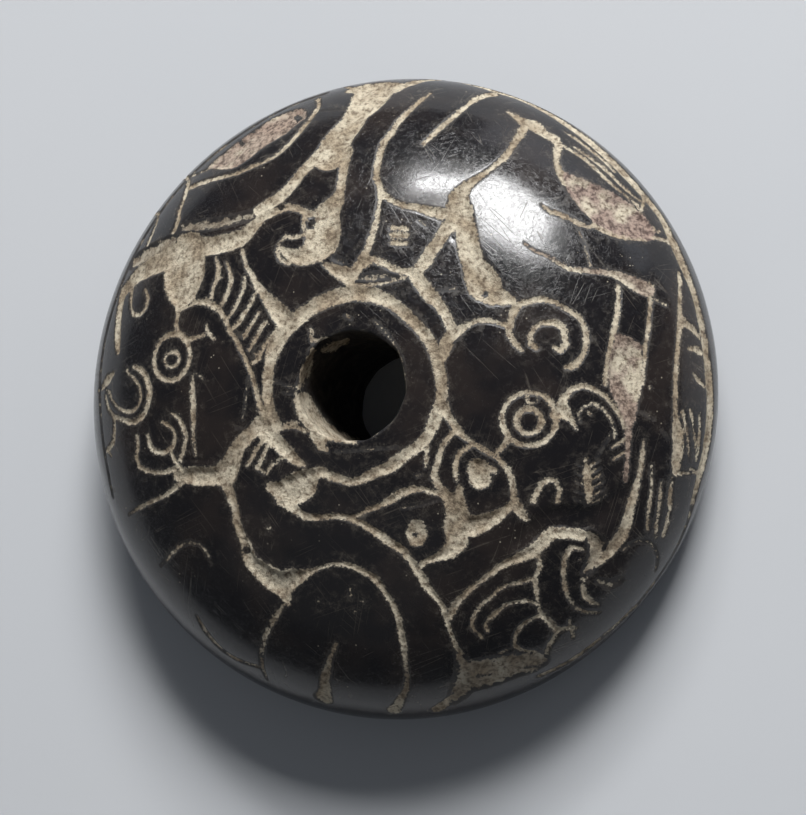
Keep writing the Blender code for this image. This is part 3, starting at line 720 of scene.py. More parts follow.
carve("edge beside the crests",
      flow((673, -429, 12), (694, -416, 12), (716, -411, 13), (741, -416, 13), (763, -433, 13),
           (780, -459, 12), (786, -489, 12), (786, -514, 10)), fill=0.7)

# %% [markdown]
# ## The ripples
#
# Thin arcs lie beside the crests like ripples. They are full of earth but narrow, and below them a
# shallow dusty pool lies at the foot of the dome.

# %% Cut the ripples and the foot pool
carve("ripples",
      flow((453, -424, 18), (457, -459, 19), (444, -489, 20), (446, -523, 22), (449, -557, 17),
           (457, -593, 20), (479, -619, 28), (491, -640, 30), (509, -644, 20), (534, -640, 14),
           (549, -646, 10)),
      flow((564, -421, 16), (538, -412, 18), (521, -437, 20), (516, -462, 20), (516, -489, 18),
           (520, -523, 16), (530, -555, 16), (548, -583, 15), (573, -600, 15), (612, -608, 13)),
      flow((436, -493, 17), (401, -501, 14), (371, -506, 15), (350, -519, 15), (329, -540, 13),
           (307, -557, 13), (290, -579, 14), (281, -600, 15), (280, -619, 15), (292, -636, 13),
           (305, -651, 9)),
      flow((440, -559, 13), (423, -549, 13), (397, -553, 13), (371, -557, 15), (350, -574, 16),
           (324, -596, 18), (314, -614, 18), (318, -629, 18)),
      flow((464, -594, 17), (432, -603, 17), (403, -622, 17), (386, -653, 17), (384, -680, 17),
           (404, -698, 17), (434, -708, 16)),
      flow((500, -648, 20), (486, -673, 20), (470, -707, 19), (466, -745, 17)),
      even(12, (530, -619), (532, -634)),
      even(12, (536, -650), (541, -679)),
      even(10, (363, -691), (346, -700)), fill=0.95)
carve("foot pool",
      flow((240, -696, 34), (250, -745, 60), (244, -790, 78), (222, -836, 62), (200, -866, 44)),
      flow((262, -740, 60), (310, -745, 80), (360, -740, 80), (410, -735, 70), (448, -742, 66)),
      flow((270, -800, 60), (330, -785, 60), (390, -770, 50), (434, -768, 40)), fill=0.4, deep=0.3)

# %% [markdown]
# ## The line round the belly
#
# A line runs round the dome just above the widest ring. It is full of earth at the top and on the
# right, thinner on the left, and it shows again at the lower right. The rest of the foot is in
# shade, with no line to be seen, so none is cut there.

# %% Cut the line round the belly
carve("belly line, right",
      around(0, 0, (-20, 957, 34), (-16, 948, 38), (-9, 950, 50), (-3, 945, 48), (2, 937, 48), (11, 929, 42),
             (17, 929, 38), (23, 927, 50), (29, 933, 46), (32, 942, 42), (40, 927, 46), (45, 924, 50),
             (53, 930, 48), (61, 944, 44), (67, 954, 44), (71, 948, 40)), fill=0.9)
carve("belly line, top",
      around(0, 0, (67, 954, 44), (71, 944, 40), (77, 957, 37), (81, 960, 35), (84, 930, 32), (86, 880, 30)),
      fill=0.92)
carve("belly line, left",
      around(0, 0, (103, 896, 28), (115, 880, 26), (140, 852, 26), (170, 832, 24), (200, 832, 20)),
      fill=0.35, deep=0.6)
carve("belly line, lower right",
      around(0, 0, (299, 925, 22), (304, 946, 28), (310, 955, 28), (316, 966, 28), (320, 978, 24)), fill=0.85)
carve("belly line, on the right edge",
      around(0, 0, (320, 978, 22), (330, 984, 22), (336, 974, 24), (340, 957, 30)), fill=0.5, deep=0.6)

# %% [markdown]
# ## Knocks and scratches
#
# Use and the ground left their own marks: a few longer scratches, pits, crumbs of earth, and earth
# and dust that cling to the wall of the bore and to the rim of its mouth. They are strokes like the
# carving's, so the knife and the finish treat them alike, and most are shallower.

# %% Scratch and pit the skin
carve("scratches",
      even(8, (634, -131), (600, -187)),
      even(8, (716, -74), (750, -91)),
      even(8, (771, -119), (789, -140)),
      even(8, (200, 228), (251, 234)),
      even(7, (-174, 771), (-101, 763)),
      even(8, (-37, -161), (23, -159), (117, -153)), fill=0.6, deep=0.5)
carve("pits",
      even(12, (-223, 466), (-222, 465)),
      even(14, (-258, 776), (-242, 758)),
      even(10, (-428, 714), (-414, 701)), fill=None, deep=1.4)
carve("specks",
      flow((-230, -368, 14), (-227, -357, 22)), even(13, (163, -225), (170, -221)),
      even(14, (-22, -508), (-22, -528)),
      *(even(12, (x, y), (x + 4, y + 2)) for x, y in ((-112, -545), (6, -544), (-14, -570), (-80, -550))),
      fill=0.8, deep=0.3)
carve("earth in the mouth",
      flow((-124, -38, 58), (-108, -74, 62), (-72, -106, 52), (-32, -126, 38), (14, -139, 18)),
      flow((-80, -122, 60), (-76, -148, 36), (-60, -160, 16)),
      flow((-74, 86, 20), (-45, 97, 32), (-12, 112, 18)),
      flow((-108, 140, 14), (-104, 114, 22), (-63, 116, 18)),
      even(9, (-20, 173), (-3, 164)), fill=0.9, deep=0.3)
carve("dust in the mouth",
      flow((-100, 86, 30), (-114, 44, 36), (-128, 8, 34), (-142, -16, 26)), fill=0.68, deep=0.2)
carve("rim of the mouth",
      flow((57, 156, 9), (91, 121, 10), (117, 83, 10), (130, 49, 10), (132, 0, 11), (129, -24, 14),
           (112, -66, 12), (83, -98, 11), (57, -123, 9)), fill=0.8, deep=0.1)
print(len(carving), "strokes in all")

# %% [markdown]
# ## From the plan to the skin, and back
#
# Each vertex of the blank has a place on the plan, worked out from its radius. Inside the bore the
# plan is thrown down on the wall at a slant, as by a low lamp. So a mark that is drawn within the
# mouth falls on the wall which faces that lamp, and the wall below the lamp stays clean. A point
# that no drawing reaches is sent off the plan.

# %% Where a vertex is on the plan
MOUTH_PLAN = np.interp(MOUTH_TURN, TURNS, REACHED) / UNIT
WALL_SLANT = np.array([0.287, -0.107])
OFF_PLAN = 1.5 * PLAN
print(f"the mouth of the bore reaches {MOUTH_PLAN:.0f} out on the plan")


def radius_and_turn(points):
    """Each point's radius, and its turn from the crown down the quarter of the ellipse."""
    radius = np.hypot(points[:, 0], points[:, 1])
    return radius, np.arctan2(radius / WHORL_RADIUS, (points[:, 2] - BELLY_HEIGHT) / DOME_RISE)


def on_plan(points):
    """The plan's places of points on the upright blank."""
    radius, turn = radius_and_turn(points)
    out = np.interp(turn, TURNS, REACHED) / UNIT
    out = np.where(turn > QUARTER, OFF_PLAN, out)
    places = points[:, :2] * (out / np.maximum(radius, BORE_RADIUS / 2))[:, None]
    inside = radius < MOUTH_RADIUS
    places[inside] = (points[inside, :2] + (MOUTH_TOP - points[inside, 2:]) * WALL_SLANT) / UNIT
    places[inside & (np.hypot(*places.T) > MOUTH_PLAN + 1)] = OFF_PLAN
    return places


# %% [markdown]
# ## How near and how deep
#
# A cut starts from one question: how far is this place from the stroke's middle line, and how wide
# is the stroke there? The width gives the depth of the floor, since a broad tool goes deeper, and
# the distance says where on the way down from the rounded shoulder the place is.

# %% Gaps and depths
LINE_WIDTH, POOL_WIDTH = 22, 90
LINE_DEPTH, POOL_DEPTH = 0.115 * MM, 0.31 * MM
THIN_DEPTH = 0.010 * MM
WALL = 17.0
WORN = 2.4
WORN_FROM, WORN_FULLY = 6, 12
print(f"a line is {LINE_DEPTH / MM:.2f} mm deep and a broad pool {POOL_DEPTH / MM:.2f} mm")


def nearest_on(stroke, places):
    """How far each place is from the stroke's middle line, and the stroke's half width there.

    Broad strokes were measured across their worn lips, so they are cut a little narrower."""
    start, run = stroke[:-1, :2], stroke[1:, :2] - stroke[:-1, :2]
    reach = ((places[:, None] - start) * run).sum(2) / np.maximum((run**2).sum(1), 1e-9)
    reach = reach.clip(0, 1)
    away = np.linalg.norm(places[:, None] - start - reach[..., None] * run, axis=2)
    half = mix(stroke[:-1, 2], stroke[1:, 2], reach) / 2
    half -= WORN * np.interp(half, (WORN_FROM, WORN_FULLY), (0, 1))
    best = (away - half).argmin(1)
    rows = np.arange(len(places))
    return away[rows, best], half[rows, best]


def depth_of(gap, half, slope):
    """How deep the cut is: a round shoulder at its edge, then a wall, then a flat floor."""
    width = 2 * half
    full = np.interp(width, (0, LINE_WIDTH, POOL_WIDTH), (0, LINE_DEPTH, POOL_DEPTH))
    full = np.minimum(full, width * THIN_DEPTH)
    sunk = ((slope - gap) / (slope + np.minimum(half, WALL))).clip(0, 1)
    return full * sunk**2 * (3 - 2 * sunk)


# %% [markdown]
# ## The knife
#
# For each vertex the knife finds the gap to the edge of the nearest stroke, which is negative inside
# it. It gives the depth of the cut, and it is also kept on the mesh as an attribute, because the
# material needs it: a smooth field such as this gives a crisp line at any zoom, where a painted mask
# would be only as sharp as the mesh. A bare stroke does the opposite: it pushes the earth of earlier
# strokes back to its own edge.
#
# To save time the knife searches only a margin round each stroke. Everywhere else the gap is `FAR`.

# %% The knife
FAR = 150.0
SEARCH = 40


def knife(places):
    """Gap to the nearest stroke, depth of cut, fill of earth and its rosiness at each place."""
    field = {"gap": np.full(len(places), FAR), "depth": np.zeros(len(places)),
             "fill": np.ones(len(places)), "rose": np.zeros(len(places))}
    for cut in carving:
        stroke = cut["stroke"]
        margin = stroke[:, 2].max() / 2 + SEARCH + cut["slope"]
        inside = (places > stroke[:, :2].min(0) - margin) & (places < stroke[:, :2].max(0) + margin)
        near = np.flatnonzero(inside.all(1))
        if not len(near):
            continue
        away, half = nearest_on(stroke, places[near])
        gap = away - half
        depth = depth_of(gap, half, cut["slope"]) * cut["deep"]
        field["depth"][near] = np.maximum(field["depth"][near], depth)
        if cut["fill"] is None:
            field["gap"][near] = np.maximum(field["gap"][near], -gap)
            continue
        closer = gap < field["gap"][near]
        field["gap"][near[closer]] = gap[closer]
        field["fill"][near[closer]] = cut["fill"]
        field["rose"][near[closer]] = cut["rose"]
    return field


# %% [markdown]
# ## Finer where it is cut
#
# The plain skin needs few facets, and the edge of a line needs many. So the mesh is split only
# where a face is larger than its place asks for, in a few rounds. All four edges of a face are
# halved at once, which makes four smaller squares of it.

# %% Split the faces near the strokes
PLAIN_SIZE, NEAR_SIZE, EDGE_SIZE = 24.0, 12.0, 6.3
NEAR_GAP, EDGE_GAP = 22.0, 8.0
SPLITS = 3
WELD = MM / 1000


def split_once(shape):
    faces = [face for face in shape.faces if len(face.verts) == 4]
    middles = np.array([face.calc_center_median() for face in faces])
    size = np.sqrt([face.calc_area() for face in faces]) / UNIT
    gap = knife(on_plan(middles))["gap"]
    wanted = np.where(gap < NEAR_GAP, NEAR_SIZE, PLAIN_SIZE)
    wanted = np.where(np.abs(gap) < EDGE_GAP, EDGE_SIZE, wanted)
    chosen = [faces[i] for i in np.flatnonzero(size > wanted)]
    edges = {edge for face in chosen for edge in face.edges}
    bmesh.ops.subdivide_edges(shape, edges=list(edges), cuts=1, use_grid_fill=True)
    return len(chosen)


shape = bmesh.new()
shape.from_mesh(blank)
bmesh.ops.remove_doubles(shape, verts=shape.verts, dist=WELD)
if shape.calc_volume(signed=True) < 0:
    bmesh.ops.reverse_faces(shape, faces=shape.faces)
for split in range(SPLITS):
    chosen = split_once(shape)
    print(f"round {split + 1}: split {chosen} faces, {len(shape.faces)} faces now")
bmesh.ops.triangulate(shape, faces=[face for face in shape.faces if len(face.verts) > 4])
shape.to_mesh(blank)
shape.free()
blank.calc_loop_triangles()
print(len(blank.loop_triangles), "triangles")

# %% [markdown]
# ## Which way is in
#
# Splitting leaves new vertices on the chords between old ones, so each is first put back on the
# true ellipse. The ellipse also gives the direction that points straight out of the skin, which the
# mesh itself could give only roughly.

# %% Put the vertices back on the dome
INNER_RADIUS = MOUTH_RADIUS * 0.999
UNDERSIDE = MM / 100


def true_to_dome(points):
    """Puts the dome's points back on the ellipse. Also gives each point's outward direction, and
    which points lie on the dome, in the bore and on the flat underside."""
    radius, turn = radius_and_turn(points)
    bearing = points[:, :2] / radius[:, None]
    dome = (radius >= INNER_RADIUS) & (turn <= QUARTER + 1e-6)
    out_r, out_z = dome_point(turn[dome])
    points[dome, :2] = bearing[dome] * out_r[:, None]
    points[dome, 2] = out_z
    lean = np.stack([DOME_RISE * np.sin(turn), WHORL_RADIUS * np.cos(turn)], axis=1)
    lean /= np.linalg.norm(lean, axis=1)[:, None]
    outward = np.column_stack([bearing * lean[:, :1], lean[:, 1]])
    inside = radius < INNER_RADIUS
    up = ((points[inside, 2] - MOUTH_TOP) / MOUTH_ROUND + 1).clip(0, 1)
    outward[inside] = np.column_stack([-bearing[inside] * np.sqrt(1 - up**2)[:, None], up])
    under = ~dome & ~inside & (points[:, 2] < UNDERSIDE)
    outward[under] = (0, 0, -1)
    return points, outward, dome, inside, under


# %% [markdown]
# ## Pressing the carving in
#
# Each vertex is pushed in by the depth of the cut. A very low, slow ripple is added over the skin,
# because clay that was rubbed by hand with a pebble is never quite true. The floors of the cuts and
# the wall of the bore are left rough, and the rim of the mouth is worn in places. Last the bore is
# leaned, more the nearer a point is to it.

# %% Move every vertex to its place
BORE_LEAN = Vector((-0.11, -0.33, 0.0)) * MM
RIPPLE, RIPPLE_SIZE = 0.012 * MM, 3.2 * MM
EARTH_ROUGH, EARTH_LUMP = 0.08 * MM, 0.30 * MM
BORE_ROUGH, BORE_SIZE, BORE_SUNK = 0.05 * MM, 0.7 * MM, 0.6
WEAR, WEAR_SIZE, WEAR_REACH = 0.48 * MM, 1.1 * MM, 0.5 * MM


def noise_at(points, size, seed):
    """Smooth noise from about -1 to 1, with features of that size."""
    shift = Vector((seed, 2 * seed, 3 * seed))
    return np.array([noise.noise(Vector(point) / size + shift) for point in points])


def press(mesh):
    """Cuts the carving into the mesh, leans the bore, and keeps the fields as attributes."""
    points = np.array([vertex.co for vertex in mesh.vertices])
    points, outward, dome, inside, under = true_to_dome(points)
    field = knife(on_plan(points))
    depth = field["depth"]
    sunk = (depth / LINE_DEPTH).clip(0, 1)
    depth -= noise_at(points, EARTH_LUMP, seed=3) * EARTH_ROUGH * sunk * (field["gap"] < 0)
    depth += noise_at(points, RIPPLE_SIZE, seed=7) * RIPPLE * ~under
    depth += (noise_at(points, BORE_SIZE, seed=11) + BORE_SUNK).clip(0, 2) * BORE_ROUGH * inside
    radius = np.hypot(points[:, 0], points[:, 1])
    rim = np.exp(-(((radius - MOUTH_RADIUS) / WEAR_REACH) ** 2)) * (points[:, 2] > WHORL_HEIGHT / 2)
    depth += noise_at(points, WEAR_SIZE, seed=5).clip(0, 1) ** 2 * WEAR * rim
    points -= outward * depth[:, None]
    share = ((WHORL_RADIUS - radius) / (WHORL_RADIUS - MOUTH_RADIUS)).clip(0, 1)
    points += share[:, None] * np.array(BORE_LEAN)
    mesh.vertices.foreach_set("co", points.ravel())
    field["bore"] = inside.astype(float)
    field["below"] = (~dome & ~inside).astype(float)
    for name in ("gap", "fill", "rose", "bore", "below"):
        values = mesh.attributes.new(name, "FLOAT", "POINT")
        values.data.foreach_set("value", field[name].astype(np.float32))
    mesh.shade_smooth()
    mesh.update()
    return field


field = press(blank)
whorl = bpy.data.objects.new("whorl_carved", blank)
bpy.context.scene.collection.objects.link(whorl)
print(f"deepest cut {field['depth'].max() / MM:.2f} mm")

# %% [markdown]
# ## Writing a material as sums
#
# A material's maths is easier to read as Python than as a tangle of nodes. A `Wire` stands for one
# socket's output, and `+`, `-` and `*` on it add the Math nodes. The reflected forms let it stand on
# the right too, as in `1 - mask`.

# %% Wires
class Wire:
    """An output of a node that can be used in a Python expression."""

    def __init__(self, finish, socket):
        self.finish = finish
        self.socket = socket

    def math(self, operation, *values):
        return self.finish.node("ShaderNodeMath", {"operation": operation}, dict(enumerate(values)))

    def __add__(self, other):
        return self.math("ADD", self, other)

    def __sub__(self, other):
        return self.math("SUBTRACT", self, other)

    def __rsub__(self, other):
        return self.math("SUBTRACT", other, self)

    def __mul__(self, other):
        return self.math("MULTIPLY", self, other)

    __radd__ = __add__
    __rmul__ = __mul__

    def size(self):
        return self.math("ABSOLUTE", self)

    def least(self, other):
        return self.math("MINIMUM", self, other)

    def most(self, other):
        return self.math("MAXIMUM", self, other)

    def ramp(self, low, high, start=0.0, end=1.0):
        """Goes smoothly from start to end while the wire goes from low to high."""
        return self.finish.node("ShaderNodeMapRange", {"interpolation_type": "SMOOTHSTEP"}, {
            "Value": self, "From Min": low, "From Max": high, "To Min": start, "To Max": end})


# %% [markdown]
# ## Finishes
#
# A `Finish` is a whole material. One method, `node`, adds every kind of node, and the others are
# short names for the ones that are used most. Patterns read Object coordinates, in metres, so the
# size of a grain is a real size. Colours go through Mix nodes, since a Math node would turn them grey.

# %% Finishes
class Finish:
    """A material and the one method that adds all of its nodes."""

    def __init__(self, material):
        material.use_nodes = True
        self.tree = material.node_tree
        self.tree.nodes.clear()

    def node(self, kind, settings=None, inputs=None, output=0):
        plain = {key: value.socket if isinstance(value, Wire) else value
                 for key, value in (inputs or {}).items()}
        made = add_node(self.tree, kind, settings, plain)
        return Wire(self, socket_of(made.outputs, output))

    def attribute(self, name):
        return self.node("ShaderNodeAttribute", {"attribute_name": name}, output="Fac")

    def place(self, turn=0.0, size=(1, 1, 1)):
        """Object coordinates, turned about Z and then measured in these sizes."""
        at = self.node("ShaderNodeTexCoord", output="Object")
        return self.node("ShaderNodeMapping", {"vector_type": "TEXTURE"}, {
            "Vector": at, "Rotation": (0, 0, turn), "Scale": size})

    def grain(self, size, detail=2.0, roughness=0.5, place=None, twist=0.0):
        """Noise from 0 to 1 with features of that size, stirred by the twist."""
        return self.node("ShaderNodeTexNoise", None, {
            "Vector": place or self.place(), "Scale": 1 / size, "Detail": detail, "Roughness": roughness,
            "Distortion": twist})

    def blend(self, share, one, other):
        """A colour that goes from one to the other."""
        return self.node("ShaderNodeMix", {"data_type": "RGBA"}, {
            "Factor_Float": share, "A_Color": one, "B_Color": other}, "Result_Color")


# %% [markdown]
# ## Colours and fields
#
# The finish has two coats: black burnished clay, and earth in its cuts. Their colours are given as
# a screen shows them. The knife's fields come in as attributes of the mesh, so a pattern can be told
# where the cuts are.

# %% Colours and fields of the finish
def photo_colour(red, green, blue):
    """A colour as a screen shows it, from 0 to 255, in the linear values that a shader needs."""
    return (*(((c / 255 + 0.055) / 1.055) ** 2.4 for c in (red, green, blue)), 1.0)


SOOT = photo_colour(25, 23, 25)
SMOKED = photo_colour(42, 36, 34)
DUST = photo_colour(122, 114, 102)
EARTH_LIGHT = photo_colour(224, 213, 190)
EARTH = photo_colour(192, 175, 149)
EARTH_DARK = photo_colour(112, 97, 80)
ROSE_LIGHT = photo_colour(178, 154, 143)
ROSE_DARK = photo_colour(82, 64, 64)

finish = Finish(clay)
gap, fill, rose = finish.attribute("gap"), finish.attribute("fill"), finish.attribute("rose")
bore, below = finish.attribute("bore"), finish.attribute("below")
print("the finish reads gap, fill, rose, bore and below")

# %% [markdown]
# ## Earth in the cuts
#
# The edge of the earth is where the gap is zero, less an inset and some noise that makes it ragged.
# More noise lets the skin show through where a stroke isn't full. The earth itself is a crust of
# light and dark grains, with paler patches, and in a few pools it turns rosy in blotches.

# %% Where the earth lies and what colour it has
EARTH_INSET = 2.4
EDGE_GRAIN, EDGE_SWAY = 0.15 * MM, 0.9 * MM
MISSING_GRAIN = 0.45 * MM
CRUST_GRAIN, CRUST_PATCH = 0.28 * MM, 1.6 * MM

ragged = (finish.grain(EDGE_GRAIN, 3.0, 0.7) - 0.5) * 21 + (finish.grain(EDGE_SWAY, 1.0) - 0.5) * 8
missing = (1 - fill) * (finish.grain(MISSING_GRAIN, 3.0, 0.6) - 0.28) * 60
edge = gap + EARTH_INSET + ragged + missing.most(0.0)
earth = edge.ramp(1.8, -1.8) * fill.ramp(0.0, 0.75, 0.25, 1.0)

tone = finish.grain(CRUST_GRAIN, 4.0, 0.7)
pale_tone = finish.grain(CRUST_PATCH, 2.0)
earth_colour = finish.blend(tone.ramp(0.32, 0.68), EARTH_DARK, EARTH)
earth_colour = finish.blend(pale_tone.ramp(0.35, 0.65) * tone.ramp(0.3, 0.6), earth_colour, EARTH_LIGHT)
rosy = finish.blend(tone.ramp(0.38, 0.62), ROSE_DARK, ROSE_LIGHT)
earth_colour = finish.blend(rose * pale_tone.ramp(0.68, 0.50), earth_colour, rosy)
print(len(finish.tree.nodes), "nodes for the earth")

# %% [markdown]
# ## Scratches and specks
#
# A scratch is a contour line of a noise: where the noise is just one half, it draws a hair-thin
# line. Stretched noise gives long straight hairs, and twisted noise gives the small wavy ones that
# polishing leaves. A second, slow noise keeps the straight ones to patches. Specks are the middles
# of the cells in a pattern of scattered cells, also kept to patches.

# %% Draw scratches and specks
HAIR_LENGTH, HAIR_PATCH = 14 * MM, 2.5 * MM
SPECK_SPACING, SPECK_PATCH = 0.55 * MM, 2.5 * MM


def scratches(turn, spacing, keep):
    """Hair-thin lines that run one way, kept only where a slow noise is high."""
    lines = finish.grain(1.0, 0.0, 0.5, finish.place(turn, (HAIR_LENGTH, spacing, HAIR_LENGTH)))
    hair = (lines - 0.5).size().ramp(0.012, 0.0)
    return hair * finish.grain(HAIR_PATCH, 1.0, 0.5, finish.place(turn)).ramp(keep, keep + 0.1)


hairs = scratches(0.35, 0.5 * MM, 0.56)
for turn, spacing, keep in ((1.25, 0.6, 0.54), (-0.75, 0.6, 0.55), (2.2, 0.8, 0.55)):
    hairs = hairs.most(scratches(turn, spacing * MM, keep))
swirls = (finish.grain(0.9 * MM, 2.0, 0.6, twist=1.5) - 0.5).size().ramp(0.014, 0.0)
swirls = swirls.most((finish.grain(0.7 * MM, 1.0, 0.5, twist=2.5) - 0.46).size().ramp(0.012, 0.0))

specks = finish.node("ShaderNodeTexVoronoi", {"feature": "F1"}, {
    "Vector": finish.place(), "Scale": 1 / SPECK_SPACING}, "Distance")
speck = specks.ramp(0.10, 0.05) * finish.grain(SPECK_PATCH, 2.0).ramp(0.52, 0.62)
print(len(finish.tree.nodes), "nodes with the scratches and specks")

# %% [markdown]
# ## The burnished skin
#
# The skin is nearly black, with brown patches where the smoke took less. A film of dust thickens
# towards the cuts and ends in a fringe beside them. The scratches and specks are paler than the
# skin, and the bore is dusty.

# %% Colour the skin
SMOKE_PATCH = 5.0 * MM
FILM_GRAIN, FILM_REACH = 0.5 * MM, 45.0
FRINGE_GRAIN, FRINGE_REACH = 0.12 * MM, 15.0

skin_colour = finish.blend(finish.grain(SMOKE_PATCH, 3.0, 0.6).ramp(0.42, 0.66), SOOT, SMOKED)
film = gap.ramp(FILM_REACH, 0.0) * finish.grain(FILM_GRAIN, 4.0, 0.7).ramp(0.46, 0.78)
fringe = gap.ramp(FRINGE_REACH, 0.0) * finish.grain(FRINGE_GRAIN, 3.0, 0.75).ramp(0.48, 0.68)
film = film.most(fringe) * (1 - bore)
skin_colour = finish.blend(film * 0.30, skin_colour, DUST)
skin_colour = finish.blend(hairs * 0.24, skin_colour, DUST)
skin_colour = finish.blend(speck * 0.5, skin_colour, EARTH_LIGHT)
bore_dust = bore * finish.grain(0.8 * MM, 3.0, 0.6).ramp(0.45, 0.7)
skin_colour = finish.blend(bore_dust * 0.30, skin_colour, DUST)
colour = finish.blend(earth, skin_colour, earth_colour)
print(len(finish.tree.nodes), "nodes with the skin's colour")

# %% [markdown]
# ## Gloss and relief
#
# The rubbed skin is glossy, less so where there is dust, a scratch or the lip of a cut. The bore
# wasn't rubbed, so it is dull, and earth is quite dull. The bump is for what is too small for the
# mesh: the grain of the earth, the scratches and a faint waviness, which makes the edges of the
# windows' reflections tremble.

# %% Gloss, bump and the shader
GLOSS, GLOSS_GRAIN = 0.16, 0.25 * MM
EARTH_DULL = 0.95
BUMP = 0.05 * MM
FIRED_IOR = 1.52

gloss = GLOSS + (finish.grain(GLOSS_GRAIN, 4.0, 0.7) - 0.5) * 0.30 + film * 0.20 + hairs * 0.12
gloss = gloss + gap.ramp(5.0, -1.0) * 0.35 + swirls * 0.10 + bore * 0.45 + below * 0.06
roughness = (gloss * (1 - earth) + earth * EARTH_DULL).least(1.0)

skin_height = (finish.grain(0.16 * MM, 2.0) - 0.5) * 0.045 + (finish.grain(1.4 * MM, 2.0) - 0.5) * 0.16
skin_height = skin_height - hairs * 0.05 - swirls * 0.03
skin_height = skin_height + bore * (finish.grain(0.3 * MM, 3.0, 0.6) - 0.5) * 1.2
earth_height = (finish.grain(0.12 * MM, 4.0, 0.7) - 0.5) * 2.2
height = skin_height * (1 - earth) + earth_height * earth
bump = finish.node("ShaderNodeBump", None, {"Strength": 1.0, "Distance": BUMP, "Height": height})
shader = finish.node("ShaderNodeBsdfPrincipled", None, {
    "Base Color": colour, "Roughness": roughness, "Normal": bump, "IOR": FIRED_IOR})
add_node(finish.tree, "ShaderNodeOutputMaterial", None, {"Surface": shader.socket})
print(len(finish.tree.nodes), "nodes in the finish")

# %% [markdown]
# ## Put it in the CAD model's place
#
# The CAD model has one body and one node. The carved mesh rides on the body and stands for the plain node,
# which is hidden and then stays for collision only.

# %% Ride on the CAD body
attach(whorl, "root")
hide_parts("whorl")
print("whorl_carved stands for the whorl")

# %% [markdown]
# ## The camera
#
# The photo looks down on the dome from the right and a little from below it. Its direction and its
# focal length were worked out from the outline of the rim, the ring and both ends of the bore, and
# they are kept here as angles and as pixels of the photo.

# %% Set up the camera
PHOTO_WIDTH, PHOTO_HEIGHT = 806, 815
FOCAL_PIXELS = 2727.8
PRINCIPAL_X, PRINCIPAL_Y = 398.6, 396.4
CAMERA_TILT = math.radians(17.0)
CAMERA_BEARING = math.radians(-20.4)
CAMERA_DISTANCE = 161.5 * MM
SENSOR = 36.0

camera_data = bpy.data.cameras.new("camera")
camera_data.sensor_width = SENSOR
camera_data.lens = FOCAL_PIXELS * SENSOR / PHOTO_HEIGHT
camera_data.shift_x = (PHOTO_WIDTH / 2 - PRINCIPAL_X) / PHOTO_HEIGHT
camera_data.shift_y = (PRINCIPAL_Y - PHOTO_HEIGHT / 2) / PHOTO_HEIGHT
camera_data.clip_start = 5 * MM
camera = bpy.data.objects.new("camera", camera_data)
bpy.context.scene.collection.objects.link(camera)
away = Vector((math.sin(CAMERA_TILT) * math.cos(CAMERA_BEARING),
               math.sin(CAMERA_TILT) * math.sin(CAMERA_BEARING), math.cos(CAMERA_TILT)))
turned = Vector((0, 0, 1)).rotation_difference(away).to_matrix().to_4x4()
camera.matrix_world = Matrix.Translation(Vector((0, 0, BELLY_HEIGHT)) + away * CAMERA_DISTANCE) @ turned
bpy.context.scene.camera = camera
print(f"lens {camera_data.lens:.1f} mm")

# %% [markdown]
# ## The floor
#
# The whorl lies on plain pale paper. It is a grid wider than any view, just under the flat base, so
# that the two faces never flicker through each other. It isn't part of the object.

# %% Lay the floor
FLOOR_SIZE = 1.2
FLOOR_CELLS = 8
FLOOR_GAP = 0.02 * MM
PAPER_DARK, PAPER_LIGHT = photo_colour(205, 208, 212), photo_colour(212, 214, 217)
PAPER_GRAIN, PAPER_DULL = 30 * MM, 0.8

floor_mesh = bpy.data.meshes.new("floor")
floor_shape = bmesh.new()
bmesh.ops.create_grid(floor_shape, x_segments=FLOOR_CELLS, y_segments=FLOOR_CELLS, size=FLOOR_SIZE)
floor_shape.to_mesh(floor_mesh)
floor_shape.free()
floor = bpy.data.objects.new("floor", floor_mesh)
bpy.context.scene.collection.objects.link(floor)
floor.location.z = low[2] - FLOOR_GAP
pale_paper = bpy.data.materials.new("pale_paper")
paper = Finish(pale_paper)
paper_colour = paper.blend(paper.grain(PAPER_GRAIN, 2.0), PAPER_DARK, PAPER_LIGHT)
paper_shader = paper.node("ShaderNodeBsdfPrincipled", None, {
    "Base Color": paper_colour, "Roughness": PAPER_DULL})
add_node(paper.tree, "ShaderNodeOutputMaterial", None, {"Surface": paper_shader.socket})
floor_mesh.materials.append(pale_paper)
print(f"the floor lies {FLOOR_GAP / MM:.2f} mm under the whorl")

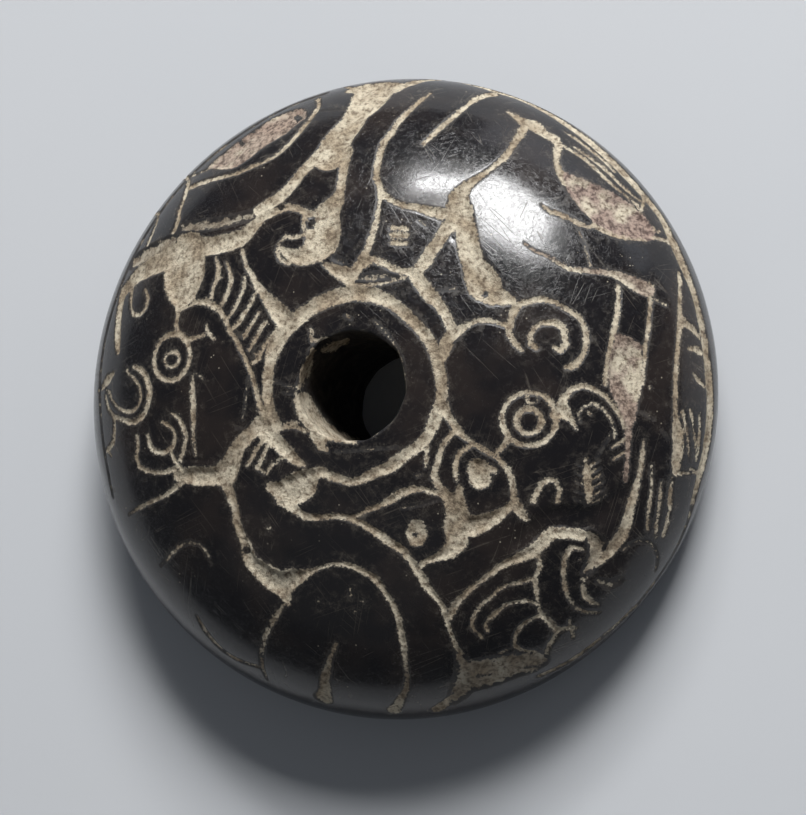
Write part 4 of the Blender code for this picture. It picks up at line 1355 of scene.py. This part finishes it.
# %% [markdown]
# ## The lights
#
# A glossy black thing shows its lights as much as itself. The photo's bright patches place a large
# window and a small one, at these bearings and heights as seen from the whorl. A dimmer wall behind
# them makes the grey sheen round the patches, and a low wide band lights the far rim. A weak light
# opposite fills the shadows, and the pale floor does the rest from below.

# %% Hang the lights
def window(name, bearing, height, distance, width, tall, power, tint=(1, 1, 1)):
    """A soft light at that bearing and height in degrees, facing the whorl."""
    lamp = bpy.data.lights.new(name, "AREA")
    lamp.shape = "RECTANGLE"
    lamp.size, lamp.size_y = width, tall
    lamp.energy = power
    lamp.color = tint
    holder = bpy.data.objects.new(name, lamp)
    bearing, height = math.radians(bearing), math.radians(height)
    flat = math.cos(height)
    way = Vector((math.cos(bearing) * flat, math.sin(bearing) * flat, math.sin(height)))
    holder.location = way * distance
    holder.rotation_euler = way.to_track_quat("Z", "Y").to_euler()
    bpy.context.scene.collection.objects.link(holder)
    print(f"{name}: {power} W")


COOL = (0.86, 0.91, 1.0)
window("large_window", 71, 41, distance=0.5, width=0.16, tall=0.17, power=2.25)
window("small_window", 90, 38.5, distance=0.5, width=0.10, tall=0.035, power=0.5)
window("bright_wall", 77, 39.5, distance=0.55, width=0.38, tall=0.16, power=0.40)
window("horizon", 60, 9, distance=1.1, width=1.0, tall=0.35, power=1.3, tint=COOL)
window("fill", 235, 50, distance=0.6, width=0.5, tall=0.5, power=0.06)

# %% [markdown]
# ## The room
#
# Light that comes from everywhere stands for the rest of the room. It is weak and a little cool, so
# the shadow beside the whorl stays dark. The standard view shows colours as they were given above,
# without a film's soft shoulder.

# %% Light the room
ROOM_COLOUR = (0.80, 0.86, 0.95, 1.0)
ROOM_STRENGTH = 0.10
room = bpy.data.worlds.new("studio")
bpy.context.scene.world = room
room.use_nodes = True
background = room.node_tree.nodes["Background"]
background.inputs["Color"].default_value = ROOM_COLOUR
background.inputs["Strength"].default_value = ROOM_STRENGTH
bpy.context.scene.view_settings.view_transform = "Standard"
print(f"the room's light has strength {ROOM_STRENGTH}")
